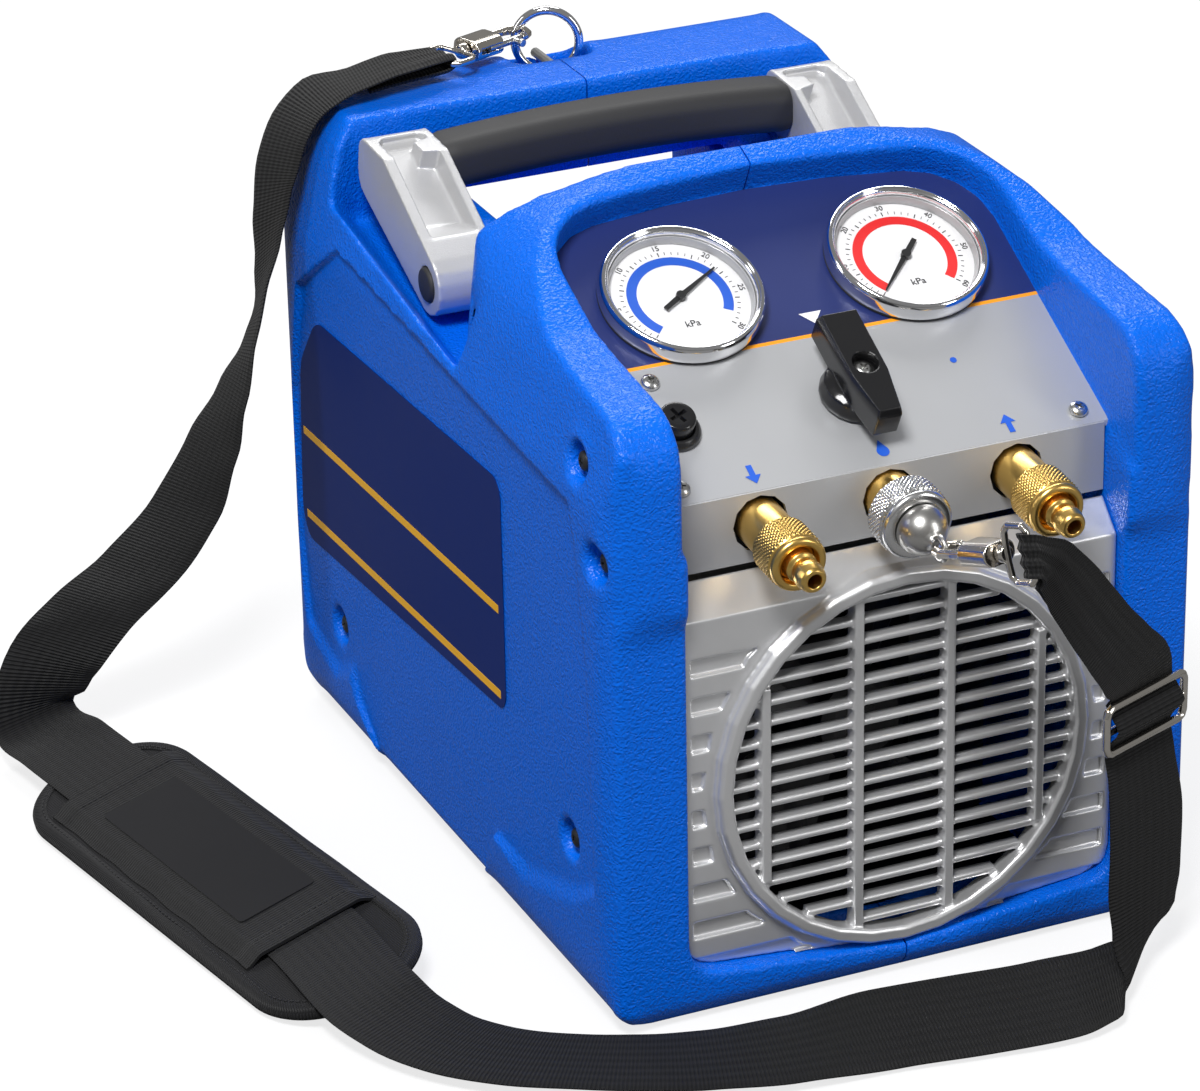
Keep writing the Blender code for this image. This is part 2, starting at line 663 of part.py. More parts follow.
def panel_screws():
    """Pan-head screws with their shanks through the panel."""
    profile = [(0, -0.008), (0.0018, -0.008), (0.0018, GAP), (0.0042, GAP), (0.0042, 0.0012)]
    profile += [(0.0034, 0.0022), (0.0020, 0.0027), (0, 0.0028)]
    for number, (x, rise) in enumerate(PANEL_SCREWS, 1):
        screw = turned(f"panel_screw_{number}", profile, 12)
        finish(place(screw, panel_point(x, rise), PANEL_NORMAL), "steel")


def gauge(side_name, side, needle_angle):
    """A panel gauge: case with bezel, dial, needle on its spindle and lens."""
    at = panel_point(side * GAUGE_SPREAD, GAUGE_RISE)
    inner = GAUGE_BEZEL - 0.0036
    profile = [(0, -GAUGE_DEPTH), (GAUGE_BODY, -GAUGE_DEPTH), (GAUGE_BODY, GAP), (GAUGE_BEZEL, GAP)]
    profile += [(GAUGE_BEZEL, 0.0060), (GAUGE_BEZEL - 0.0010, 0.0080), (inner + 0.0012, 0.0086)]
    profile += [(inner, 0.0076), (inner, 0.0006), (0.0225, 0.0006), (0.0225, 0.003 - GAUGE_DEPTH)]
    profile += [(0, 0.003 - GAUGE_DEPTH)]
    case = turned(f"gauge_{side_name}_case", profile, 24)
    finish(place(case, at, PANEL_NORMAL), "chrome")
    dial_profile = [(0.0014, 0.0009), (inner - GAP, 0.0009), (inner - GAP, 0.0017), (0.0014, 0.0017)]
    dial = turned(f"gauge_{side_name}_dial", dial_profile, 18, closed=True)
    finish(place(dial, at, PANEL_NORMAL), "dial_white")
    lens_profile = [(0, 0.0056), (inner - GAP, 0.0056), (inner - GAP, 0.0070), (0, 0.0070)]
    lens = turned(f"gauge_{side_name}_lens", lens_profile, 22)
    finish(place(lens, at, PANEL_NORMAL), "clear_lens")
    needle = turned(f"gauge_{side_name}_needle", [(0, -0.0060), (0.0010, -0.0060), (0.0010, 0.0020),
                                                  (0.0019, 0.0020), (0.0019, 0.0042), (0, 0.0042)], 10)
    pointer = [(-0.0010, -0.0090), (0.0010, -0.0090), (0.0011, 0.0), (0.0003, 0.0205)]
    pointer += [(-0.0003, 0.0205), (-0.0011, 0.0)]
    fuse(needle, prism("pointer", pointer, "Z", 0.0026, 0.0034))
    finish(place(needle, at, PANEL_NORMAL, needle_angle), "black_plastic")


def selector_knob():
    """The bar knob, its skirt under it, and the screw that holds it to the valve stem."""
    at = panel_point(0, KNOB_RISE)
    knob = turned("selector_knob", [(0, 0.0010), (0.0135, 0.0010), (0.0140, 0.0030), (0.0128, 0.0075),
                                    (0.0100, 0.0090), (0, 0.0090)], 18)
    base = [(-0.0082, 0.0255), (-0.0082, -0.0050), (-0.0050, -0.0240), (0.0050, -0.0240)]
    base += [(0.0082, -0.0050), (0.0082, 0.0255)]
    top = [(x * 0.84, y * 0.95) for x, y in base]
    bar = loft("bar", [[(x, y, 0.0070) for x, y in base], [(x, y, 0.0165) for x, y in base],
                       [(x, y, 0.0195) for x, y in top]])
    fuse(knob, bar)
    bore = turned("bore", [(0, -0.001), (0.0036, -0.001), (0.0036, 0.0080), (0, 0.0080)], 10)
    head_seat = turned("head_seat", [(0, 0.0140), (0.0050, 0.0140), (0.0050, 0.0300), (0, 0.0300)], 14)
    shank_hole = turned("shank", [(0, 0.0060), (0.0020, 0.0060), (0.0020, 0.0200), (0, 0.0200)], 8)
    cut(knob, bore, head_seat, shank_hole)
    finish(place(knob, at, PANEL_NORMAL), "black_plastic")
    screw = turned("knob_screw", [(0, 0.0085), (0.0017, 0.0085), (0.0017, 0.0143), (0.0040, 0.0143),
                                  (0.0038, 0.0160), (0.0020, 0.0168), (0, 0.0169)], 10)
    finish(place(screw, at, PANEL_NORMAL), "steel")
    valve = turned("selector_valve", [(0, -0.026), (0.0110, -0.026), (0.0110, -0.0030),
                                      (0.0048, -0.0027), (0.0048, 0.0004), (0.0033, 0.0004),
                                      (0.0033, 0.0077), (0, 0.0077)], 12)
    finish(place(valve, at, PANEL_NORMAL), "brass")


def fuse_holder():
    at = panel_point(FUSE_X, FUSE_RISE)
    holder = turned("fuse_holder", [(0, -0.028), (0.0058, -0.028), (0.0058, GAP), (0.0098, GAP),
                                    (0.0098, 0.0022), (0.0082, 0.0040), (0.0072, 0.0040),
                                    (0.0072, 0.0012), (0.0040, 0.0012), (0.0040, -0.018), (0, -0.018)], 14)
    finish(place(holder, at, PANEL_NORMAL), "black_plastic")
    cap = turned("fuse_cap", [(0, -0.012), (0.0036, -0.012), (0.0036, 0.0015), (0.0068, 0.0015),
                              (0.0068, 0.0085), (0.0060, 0.0096), (0, 0.0096)], 14)
    for turn in (0, math.pi / 2):
        slot = prism("slot", rounded_rectangle(0.0090, 0.0020, 0.0008, 1), "Z", 0.0078, 0.0200)
        slot.data.transform(Matrix.Rotation(turn, 4, "Z"))
        cut(cap, slot)
    finish(place(cap, at, PANEL_NORMAL), "black_plastic")


# Service ports

def knurled(name, radius, low, high, teeth, depth):
    """A sleeve body with straight teeth round it, for a grip ring."""
    outline = []
    for tooth in range(teeth * 2):
        angle = math.pi * tooth / teeth
        reach = radius if tooth % 2 == 0 else radius - depth
        outline.append((reach * math.cos(angle), reach * math.sin(angle)))
    return prism(name, outline, "Z", low, high)


def flare_port(name, side):
    """A hose port: brass body in the flange, knurled sleeve round it, flare nipple."""
    at = Vector((side * PORT_SPREAD, BEND_Y, PORT_HEIGHT))
    nipple = [(0.0028, 0.0300), (0.0028, 0.0440), (0.0042, 0.0440), (0.0050, 0.0428)]
    nipple += [(0.0056, 0.0400), (0.0056, 0.0375), (0.0046, 0.0365), (0.0046, 0.0345)]
    nipple += [(0.0060, 0.0335), (0.0060, 0.0290), (0.0072, 0.0280)]
    shank = [(0.0072, 0.0152), (0.0092, 0.0150), (0.0092, -0.0100), (0.0070, -0.0110)]
    shank += [(0.0070, -0.0240), (0, -0.0240)]
    profile = [(0, 0.0300)] + nipple + shank
    body = turned(f"{name}_port", list(reversed(profile)), 12)
    finish(place(body, at, PORT_AXIS), "brass")
    sleeve = knurled(f"{name}_sleeve", 0.0112, 0.0155, 0.0285, 12, 0.0006)
    lip = turned("lip", [(0, 0.0275), (0.0106, 0.0275), (0.0106, 0.0310), (0.0096, 0.0322), (0, 0.0322)], 12)
    fuse(sleeve, lip)
    bore = turned("bore", [(0, 0.0), (0.0075, 0.0), (0.0075, 0.0400), (0, 0.0400)], 12)
    cut(sleeve, bore)
    finish(place(sleeve, at, PORT_AXIS), "brass")


def purge_valve():
    """The middle port: brass body, knurled chrome nut and a domed plug on a neck."""
    at = Vector((0, BEND_Y, PORT_HEIGHT))
    body = turned("purge_port", [(0, -0.024), (0.0070, -0.024), (0.0070, -0.011), (0.0100, -0.010),
                                 (0.0100, 0.0080), (0.0078, 0.0085), (0.0078, 0.0180), (0, 0.0180)], 14)
    finish(place(body, at, PORT_AXIS), "brass")
    nut = knurled("purge_nut", 0.0142, 0.0095, 0.0200, 14, 0.0006)
    rim = turned("rim", [(0, 0.0190), (0.0132, 0.0190), (0.0136, 0.0215), (0.0120, 0.0232), (0, 0.0232)], 14)
    fuse(nut, rim)
    bore_profile = [(0, 0), (0.0081, 0), (0.0081, 0.0190), (0.0060, 0.0190), (0.0060, 0.040), (0, 0.040)]
    cut(nut, turned("bore", bore_profile, 12))
    finish(place(nut, at, PORT_AXIS), "chrome")
    dome = [(0, 0.0184), (0.0056, 0.0184), (0.0056, 0.0236), (0.0096, 0.0236)]
    dome += [(0.0096 * math.cos(math.radians(a)), 0.0250 + 0.0096 * math.sin(math.radians(a)))
             for a in (0, 22, 44)]
    dome += [(0.0030, 0.0346), (0.0020, 0.0365), (0, 0.0366)]
    cap = turned("purge_cap", dome, 14)
    eyelet = torus("eyelet", CAP_EYE_RADIUS, 0.0012, 10, 4)
    settle(place(eyelet, (0, 0, CAP_EYE_REACH), RIGHT))
    fuse(cap, eyelet)
    finish(place(cap, at, PORT_AXIS), "chrome")


def manifold():
    """The valve block that the three ports screw into, hung behind the flange."""
    low = BEND_Y + 0.0128
    body = block("manifold_block", (-0.066, low, PORT_HEIGHT - 0.016),
                 (0.066, low + 0.014, PORT_HEIGHT + 0.007))
    for x in (-PORT_SPREAD, 0, PORT_SPREAD):
        at = Vector((x, BEND_Y, PORT_HEIGHT))
        cut(body, drill(at, PORT_AXIS, 0.0072 + GAP, 0.060, 12))
    finish(body, "dark_metal")


# Fan guard

def guard_plate():
    """The plate round the ring, with a shoulder that slopes back under the flange."""
    back = GUARD_FACE + 0.0035
    side = [(GUARD_FACE, -0.010), (back, -0.010), (back, GUARD_SHOULDER - 0.001)]
    side += [(BEND_Y + 0.0022, FLANGE_FOOT - 0.0055), (BEND_Y, FLANGE_FOOT - 0.0022)]
    side += [(GUARD_FACE, GUARD_SHOULDER)]
    plate = prism("fan_guard", side, "X", -0.110, 0.110)
    return overlap(plate, prism("outline", mouth_outline(GAP), "Y", -0.200, -0.100))


def guard_grooves():
    """Level grooves in the plate either side of the ring."""
    comb = None
    count = round((GUARD_SHOULDER - GUARD_FOOT) / (2 * RIB_PITCH)) + 1
    for index in range(count):
        z = GUARD_FOOT + 0.0075 + index * 0.0152
        if z > GUARD_SHOULDER - 0.006:
            break
        for side in (-1, 1):
            low_x, high_x = sorted((side * 0.020, side * (GUARD_HALF - 0.003)))
            outline = [(low_x, z - 0.0034), (high_x, z - 0.0034), (high_x, z + 0.0034), (low_x, z + 0.0034)]
            groove = prism("groove", outline, "Y", GUARD_FACE - 0.010, GUARD_FACE + 0.0018)
            comb = fuse(comb, groove) if comb else groove
    return cut(comb, drill((0, GUARD_FACE, FAN_HEIGHT), FORWARD, RING_OUTER + 0.0035, 0.050, 18))


def fan_guard():
    """One moulding: grooved plate, raised ring, level ribs and four upright bars."""
    guard = cut(guard_plate(), guard_grooves())
    centre = (0, GUARD_FACE, FAN_HEIGHT)
    cut(guard, drill(centre, FORWARD, (RING_INNER + RING_OUTER) / 2, 0.030, 32))
    ring_profile = [(RING_INNER, -0.0035), (RING_INNER, 0.0040), (RING_INNER + 0.0012, 0.0048)]
    ring_profile += [(RING_OUTER - 0.0016, 0.0048), (RING_OUTER, 0.0030), (RING_OUTER, -0.0035)]
    ring = settle(place(turned("ring", ring_profile, 32, closed=True), centre, FORWARD))
    lattice = None
    for index in range(RIBS):
        z = FAN_HEIGHT + (index - (RIBS - 1) / 2) * RIB_PITCH
        reach = math.sqrt(max(RING_INNER ** 2 - (abs(z - FAN_HEIGHT) + 0.0015) ** 2, 0)) + 0.0012
        side = [(GUARD_FACE + 0.0032, z + 0.0022), (GUARD_FACE - 0.0012, z + 0.0013)]
        side += [(GUARD_FACE - 0.0012, z - 0.0012), (GUARD_FACE + 0.0032, z - 0.0004)]
        rib = prism("rib", list(reversed(side)), "X", -reach, reach)
        lattice = fuse(lattice, rib) if lattice else rib
    for index in range(GUARD_BARS):
        x = (index - (GUARD_BARS - 1) / 2) * GUARD_BAR_PITCH
        reach = math.sqrt(RING_INNER ** 2 - (abs(x) + 0.0022) ** 2) + 0.0008
        outline = [(x - 0.0026, GUARD_FACE + 0.0028), (x - 0.0017, GUARD_FACE - 0.0028)]
        outline += [(x + 0.0017, GUARD_FACE - 0.0028), (x + 0.0026, GUARD_FACE + 0.0028)]
        bar = prism("bar", outline, "Z", FAN_HEIGHT - reach, FAN_HEIGHT + reach)
        lattice = fuse(lattice, bar)
    fuse(ring, lattice)
    fuse(guard, ring)
    finish(guard, "silver_paint", 30)


def rear_grille():
    """The vented plate in the back of the housing."""
    outline = rounded_rectangle(PLATE_SIZE[0] - 2 * GAP, PLATE_SIZE[1] - 2 * GAP, 0.010, 2, PLATE_CENTRE)
    plate = prism("rear_grille", outline, "Y", PLATE_FRONT, PLATE_BACK)
    for index in range(6):
        z = 0.075 + index * 0.0116
        slot = rounded_rectangle(0.078, 0.0048, 0.0022, 1, (-0.026, z))
        cut(plate, prism("slot", slot, "Y", BACK_FACE - 0.030, BACK_FACE + 0.010))
    inlet_hole = rounded_rectangle(0.0300, 0.0220, 0.0020, 2, (INLET_X, INLET_Z))
    cut(plate, prism("inlet_hole", inlet_hole, "Y", BACK_FACE - 0.030, BACK_FACE + 0.010))
    switch_hole = rounded_rectangle(0.0220, 0.0300, 0.0015, 2, (INLET_X, SWITCH_Z))
    cut(plate, prism("switch_hole", switch_hole, "Y", BACK_FACE - 0.030, BACK_FACE + 0.010))
    finish(plate, "silver_paint")


def power_inlet_and_switch():
    """Appliance inlet and rocker switch in the rear grille."""
    face = PLATE_BACK
    flange = prism("power_inlet", rounded_rectangle(0.038, 0.028, 0.003, 2, (INLET_X, INLET_Z)),
                   "Y", face + GAP, face + 0.0030)
    body = prism("body", rounded_rectangle(0.0292, 0.0212, 0.0018, 2, (INLET_X, INLET_Z)),
                 "Y", face - 0.022, face + 0.0010)
    fuse(flange, body)
    well = prism("well", rounded_rectangle(0.0240, 0.0160, 0.0020, 2, (INLET_X, INLET_Z)),
                 "Y", face - 0.0140, face + 0.010)
    cut(flange, well)
    for x, z in ((-0.006, -0.0015), (0.006, -0.0015), (0, 0.0035)):
        pin = block("pin", (INLET_X + x - 0.0010, face - 0.0150, INLET_Z + z - 0.0020),
                    (INLET_X + x + 0.0010, face - 0.0030, INLET_Z + z + 0.0020))
        fuse(flange, pin)
    finish(flange, "black_plastic")
    frame = prism("switch_body", rounded_rectangle(0.0250, 0.0330, 0.002, 2, (INLET_X, SWITCH_Z)),
                  "Y", face + GAP, face + 0.0020)
    body = prism("body", rounded_rectangle(0.0212, 0.0292, 0.0012, 2, (INLET_X, SWITCH_Z)),
                 "Y", face - 0.020, face + 0.0010)
    fuse(frame, body)
    well = prism("well", rounded_rectangle(0.0166, 0.0246, 0.0010, 2, (INLET_X, SWITCH_Z)),
                 "Y", face - 0.0120, face + 0.010)
    finish(cut(frame, well), "black_plastic")
    rocker_side = [(-0.0030, -0.0068), (0.0036, -0.0108), (0.0046, -0.0060), (0.0038, 0.0)]
    rocker_side += [(0.0046, 0.0060), (0.0036, 0.0108), (-0.0030, 0.0068)]
    rocker = prism("power_rocker", rocker_side, "X", -0.0078, 0.0078)
    rocker.data.transform(Matrix.Rotation(math.radians(-ROCKER_THROW / 2), 4, "X"))
    rocker.location = (INLET_X, face - 0.0005, SWITCH_Z)
    finish(rocker, "black_plastic")


# Handle

def arm_pocket(inner_x):
    """The hollow in the top of an arm. It narrows at the seat of the grip, and ramps out."""
    pivot, grip = Vector(HANDLE_PIVOT), Vector(GRIP_CENTRE)
    along = (grip - pivot).normalized()
    across = Vector((-along.y, along.x))
    reach = (grip - pivot).length
    inner, outer = inner_x + ARM_INNER_WALL, inner_x + ARM_THICKNESS - ARM_OUTER_WALL
    seat = inner_x + GRIP_SEAT
    plan = [(inner, -0.050), (outer, -0.050), (outer, reach + 0.0080), (outer - 0.0030, reach + 0.0108)]
    plan += [(inner + 0.0020, reach + 0.0108), (inner, reach + 0.0090), (inner, reach + 0.0060)]
    plan += [(seat, reach + 0.0040), (seat, reach - 0.0045), (inner, reach - 0.0065)]
    levels = []
    for level in (ARM_FLOOR, 0.050):
        points = [(x, pivot + along * far + across * level) for x, far in plan]
        levels.append([(x, point.x, point.y) for x, point in points])
    pocket = loft("pocket", levels)
    ramp = [pivot + along * 0.026 + across * (ARM_FLOOR - 0.001), pivot + along * 0.120 - across * 0.010]
    ramp += [pivot + along * 0.120 + across * 0.080, pivot - along * 0.042 + across * 0.050]
    return overlap(pocket, prism("ramp", [tuple(point) for point in ramp], "X", 0, 0.200))


def handle():
    """Two cast arms bolted to the housing, with an arched grip between them."""
    pivot, grip = Vector(HANDLE_PIVOT), Vector(GRIP_CENTRE)
    outline = arc(pivot, ARM_FOOT_RADIUS, 118, 288, 7)
    outline += arc(grip + Vector((0.0075, -0.0045)), 0.0090, -76, 14, 3)
    outline += arc(grip + Vector((0.0085, 0.0045)), 0.0065, 14, 100, 3)
    outline += [(grip.x - 0.012, grip.y + 0.0095)]
    inner_x = GRIP_HALF
    arm = prism("handle_arm_right", outline, "X", inner_x, inner_x + ARM_THICKNESS)
    cut(arm, arm_pocket(inner_x))
    plug_seat = turned("plug_seat", [(0, 0), (0.0072, 0), (0.0072, 0.0100), (0, 0.0100)], 14)
    seat_x = inner_x + ARM_THICKNESS - 0.0050
    cut(arm, settle(place(plug_seat, (seat_x, *HANDLE_PIVOT), RIGHT)))
    bolt_hole = turned("bolt_hole", [(0, 0), (0.0042, 0), (0.0042, 0.0400), (0, 0.0400)], 10)
    cut(arm, settle(place(bolt_hole, (inner_x - 0.001, *HANDLE_PIVOT), RIGHT)))
    finish(arm, "cast_aluminium")
    finish(mirrored(arm, "handle_arm_left"), "cast_aluminium")
    bolt_profile = [(0, -0.0335), (0.0039, -0.0335), (0.0039, -0.0047), (0.0069, -0.0047)]
    bolt_profile += [(0.0069, 0.0004), (0.0060, 0.0012), (0, 0.0014)]
    plug = turned("handle_plug_right", bolt_profile, 14)
    place(plug, (inner_x + ARM_THICKNESS, *HANDLE_PIVOT), RIGHT)
    finish(plug, "black_rubber")
    finish(mirrored(plug, "handle_plug_left"), "black_rubber")
    section = rounded_rectangle(GRIP_DEPTH, GRIP_HEIGHT, 0.0070, 2)
    stations = 8
    rings = []
    for step in range(stations + 1):
        share = 2 * step / stations - 1
        x = share * (GRIP_HALF - GAP)
        z = GRIP_CENTRE[1] + GRIP_RISE * (1 - share ** 2)
        rings.append([(x, GRIP_CENTRE[0] + p[0], z + p[1]) for p in section])
    finish(loft("handle_grip", rings), "black_rubber")


# Inside

def cooling_fan():
    """Fan rotor on its motor, carried by a three-armed bracket on the chassis."""
    hub = turned("fan_rotor", [(0, -0.009), (0.016, -0.009), (0.018, -0.007), (0.018, 0.008),
                               (0.014, 0.011), (0, 0.011)], 14)
    for index in range(FAN_BLADES):
        blade = loft("blade", blade_sections(2 * math.pi * index / FAN_BLADES))
        fuse(hub, blade)
    bore = turned("bore", [(0, -0.020), (0.0033, -0.020), (0.0033, 0.004), (0, 0.004)], 10)
    cut(hub, bore)
    finish(place(hub, (0, FAN_Y, FAN_HEIGHT), FORWARD), "black_plastic")
    motor = turned("fan_motor", [(0, -0.050), (0.0240, -0.050), (0.0260, -0.047), (0.0260, -0.017),
                                 (0.0220, -0.0135), (0.0060, -0.0125), (0.0030, -0.0125),
                                 (0.0030, 0.0035), (0, 0.0035)], 12)
    finish(place(motor, (0, FAN_Y, FAN_HEIGHT), FORWARD), "dark_metal")


def blade_sections(start):
    """Three aerofoil-like sections of a pitched fan blade, from root to tip."""
    sections = []
    for radius, sweep, pitch in ((0.015, 0.0, 44), (0.040, 0.10, 32), (FAN_RADIUS, 0.24, 24)):
        chord = 0.030 if radius < 0.03 else 0.040
        tilt = math.radians(pitch)
        middle = start + sweep
        radial = Vector((math.cos(middle), math.sin(middle), 0))
        around = Vector((-math.sin(middle), math.cos(middle), 0))
        chord_way = around * math.cos(tilt) + Vector((0, 0, math.sin(tilt)))
        thick_way = chord_way.cross(radial)
        half, thin = min(chord, radius * 0.9) / 2, 0.0009
        sections.append([radial * radius + chord_way * a * half + thick_way * b * thin
                         for a, b in ((-1, -0.5), (0, -1.4), (1, -0.5), (1, 0.5), (0, 1.4), (-1, 0.5))])
    return sections


def chassis():
    """A folded steel tray on the floor of the housing, with an upright for the fan motor."""
    tray = block("chassis", (-0.080, -0.150, FLOOR_TOP), (0.080, 0.105, CHASSIS_TOP))
    wall_y = FAN_Y + 0.0330
    upright = block("upright", (-0.040, wall_y, FLOOR_TOP), (0.040, wall_y + 0.0020, FAN_HEIGHT + 0.032))
    fuse(tray, upright)
    cut(tray, drill((0, wall_y, FAN_HEIGHT), FORWARD, 0.0262 + GAP, 0.010, 16))
    finish(tray, "dark_metal")


def condenser():
    """The finned coil behind the fan."""
    low_y = FAN_Y + 0.054
    coil = block("condenser_coil", (-0.084, low_y, CHASSIS_TOP + GAP), (0.084, low_y + 0.022, 0.166))
    for side in (-1, 1):
        for index in range(2):
            z = 0.055 + index * 0.060
            bend = turned("bend", [(0.0060, -0.0022), (0.0100, -0.0022), (0.0100, 0.0022), (0.0060, 0.0022)],
                          8, closed=True)
            settle(place(bend, (side * 0.084, low_y + 0.011, z), (0, 1, 0)))
            fuse(coil, bend)
    finish(coil, "copper_fins")


def compressor():
    """The oil-less twin-cylinder compressor and the motor that drives it."""
    base_z = CHASSIS_TOP + GAP
    crankcase = block("compressor", (-0.078, 0.004, base_z), (-0.006, 0.092, 0.095))
    barrel = [(0, -0.010), (0.0180, -0.010), (0.0180, 0.008)]
    barrel += [(0.0205, 0.012), (0.0205, 0.020), (0.0175, 0.021), (0.0175, 0.035)]
    barrel += [(0.0205, 0.036), (0.0205, 0.054), (0, 0.054)]
    for y in (0.0255, 0.0705):
        fuse(crankcase, settle(place(turned("barrel", barrel, 8), (-0.042, y, 0.095))))
    finish(crankcase, "cast_aluminium")
    profile = [(0, 0), (0.0100, 0), (0.0100, 0.004), (0.0360, 0.006), (0.0380, 0.010)]
    profile += [(0.0380, 0.072), (0.0340, 0.078), (0, 0.078)]
    motor = turned("drive_motor", profile, 14)
    settle(place(motor, (-0.006 + GAP, 0.048, 0.052), RIGHT))
    fuse(motor, block("cradle", (0.016, 0.020, base_z), (0.060, 0.076, 0.030)))
    finish(motor, "dark_metal")


# Strap and its hardware

def torus(name, radius, wire_radius, steps=20, sides=6):
    """A round wire ring about local Z."""
    profile = []
    for side in range(sides):
        angle = 2 * math.pi * side / sides
        profile.append((radius + wire_radius * math.cos(angle), wire_radius * math.sin(angle)))
    return turned(name, profile, steps, closed=True)


def ring_and_pin():
    """The ring in the rear bridge. It hangs on a pin across its pocket."""
    ring = torus("strap_ring", RING_RADIUS, RING_WIRE, 18, 6)
    ring.data.transform(Matrix.Rotation(math.radians(90), 4, "X"))
    ring.data.transform(Matrix.Rotation(RING_TURN, 4, "Z"))
    ring.data.transform(Matrix.Translation((0, 0, RING_LIFT)))
    ring.location = (0, RING_Y, RING_PIN_Z)
    finish(ring, "chrome")
    pin = turned("ring_pin", [(0, -0.0127), (0.0020, -0.0127), (0.0020, 0.0127), (0, 0.0127)], 10)
    finish(place(pin, (0, RING_Y, RING_PIN_Z), FORWARD), "steel")


def framed(obj, origin, z_axis, y_hint):
    """Places an object with its local Z on an axis and its local Y near a direction."""
    z_way = Vector(z_axis).normalized()
    x_way = Vector(y_hint).cross(z_way).normalized()
    y_way = z_way.cross(x_way)
    turn = Matrix((x_way, y_way, z_way)).transposed().to_4x4()
    obj.matrix_world = Matrix.Translation(origin) @ turn
    return obj


def snap_hook(name, origin, axis, eye_turn):
    """A swivel snap hook: body with its nose, sprung bolt with a thumb stud, swivel eye."""
    body = prism(f"{name}_body", rounded_rectangle(0.0150, 0.0086, 0.0040, 3), "Z", 0.0006, 0.0150)
    nose = [(0.0042, 0, 0.0120), (0.0049, 0, 0.0200), (0.0048, 0, 0.0265), (0.0028, 0, 0.0310)]
    nose += [(-0.0005, 0, 0.0327), (-0.0040, 0, 0.0311), (-0.0056, 0, 0.0278), (-0.0056, 0, 0.0255)]
    fuse(body, wire("nose", nose, HOOK_WIRE))
    bolt_x = -0.0056
    bore = turned("bore", [(0, 0.0025), (0.0019, 0.0025), (0.0019, 0.0200), (0, 0.0200)], 12)
    settle(place(bore, (bolt_x, 0, 0)))
    swivel = turned("swivel", [(0, -0.0010), (0.0019, -0.0010), (0.0019, 0.0024), (0, 0.0024)], 12)
    finish(framed(cut(body, bore, swivel), origin, axis, UP), "chrome")
    bolt = turned(f"{name}_bolt", [(0, 0.0080), (0.0016, 0.0080), (0.0016, 0.0251), (0, 0.0251)], 12)
    stud_profile = [(0, 0), (0.0013, 0), (0.0013, 0.0040), (0.0017, 0.0045), (0.0017, 0.0060), (0, 0.0060)]
    stud = turned("stud", stud_profile, 10)
    fuse(bolt, settle(place(stud, (0, 0, 0.0215), (-1, 0, 0))))
    framed(bolt, origin, axis, UP)
    bolt.matrix_world = bolt.matrix_world @ Matrix.Translation((bolt_x, 0, 0))
    finish(bolt, "steel")
    half, bar = EYE_HALF, -EYE_DEPTH
    loop = [(0.0030, 0, -0.0030), (half - 0.002, 0, -0.0036), (half, 0, -0.0060), (half, 0, bar + 0.002)]
    loop += [(half - 0.002, 0, bar)]
    loop += [(-x, y, z) for x, y, z in reversed(loop)]
    eye = wire(f"{name}_eye", loop, 0.0015, cyclic=True)
    eye.data.transform(Matrix.Rotation(math.radians(eye_turn), 4, "Z"))
    neck = [(0, -0.0034), (0.0030, -0.0034), (0.0034, -0.0016), (0.0034, 0.0002), (0.0016, 0.0002)]
    neck += [(0.0016, 0.0021), (0, 0.0021)]
    fuse(eye, turned("neck", neck, 14))
    return finish(framed(eye, origin, axis, UP), "chrome")


def across_way(turn, lean):
    """The direction across the webbing, from a compass turn and a lean, in degrees."""
    turn, lean = math.radians(turn), math.radians(lean)
    return Vector((math.cos(turn) * math.cos(lean), math.sin(turn) * math.cos(lean), math.sin(lean)))


def ribbon(name, stations, thickness):
    """Flat webbing through stations of (centre, direction across, width)."""
    sections = []
    for index, (centre, across, width) in enumerate(stations):
        before = stations[max(index - 1, 0)][0]
        after = stations[min(index + 1, len(stations) - 1)][0]
        normal = (after - before).cross(across).normalized() * thickness / 2
        left, right = centre - across * width / 2, centre + across * width / 2
        sections.append([left - normal, right - normal, right + normal, left + normal])
    return loft(name, sections)


def pad_point(along, across=0.0, height=0.0):
    """A place on the shoulder pad, measured from the middle of its sleeve."""
    level = PAD_ALONG.cross(UP) * -1
    across_dir = level * math.cos(PAD_TILT) + UP * math.sin(PAD_TILT)
    normal = PAD_ALONG.cross(across_dir)
    return Vector(PAD_CENTRE) + PAD_ALONG * along + across_dir * across + normal * height


def strap_webbing():
    """One length of webbing: upper hook, pad, floor, slider, lower hook and back."""
    stations = []

    def lay(rows, width=STRAP_WIDTH):
        for row in rows:
            x, y, z, turn, lean = row[:5]
            wide = row[5] / 1000 if len(row) > 5 else width
            stations.append((Vector((x, y, z)) / 1000, across_way(turn, lean), wide))

    lay(BACK_RUN)
    pad_across = (pad_point(0, 1) - pad_point(0)).normalized()
    for along, across in ((-0.128, 0.002), (-0.095, 0.002), (0.060, 0.002), (0.114, -0.004)):
        stations.append((pad_point(along, across), pad_across, STRAP_WIDTH))
    lay(FLOOR_RUN)
    slider_across = across_way(SLIDER_TURN, 0)
    weave = ((-0.020, -0.0012), (-0.0092, -0.0031), (-0.0046, 0))
    weave += ((0, 0.0031), (0.0046, 0), (0.0092, -0.0031))
    for rise, out in weave:
        stations.append((slider_point(0, rise, out), slider_across, STRAP_WIDTH))
    lay(HOOK_RUN)
    finish(ribbon("strap_webbing", stations, STRAP_THICKNESS), "webbing", 60)


def slider_point(across, rise, out=0.0):
    way = across_way(SLIDER_TURN, 0)
    return Vector(SLIDER_CENTRE) + way * across + UP * rise + way.cross(UP) * out


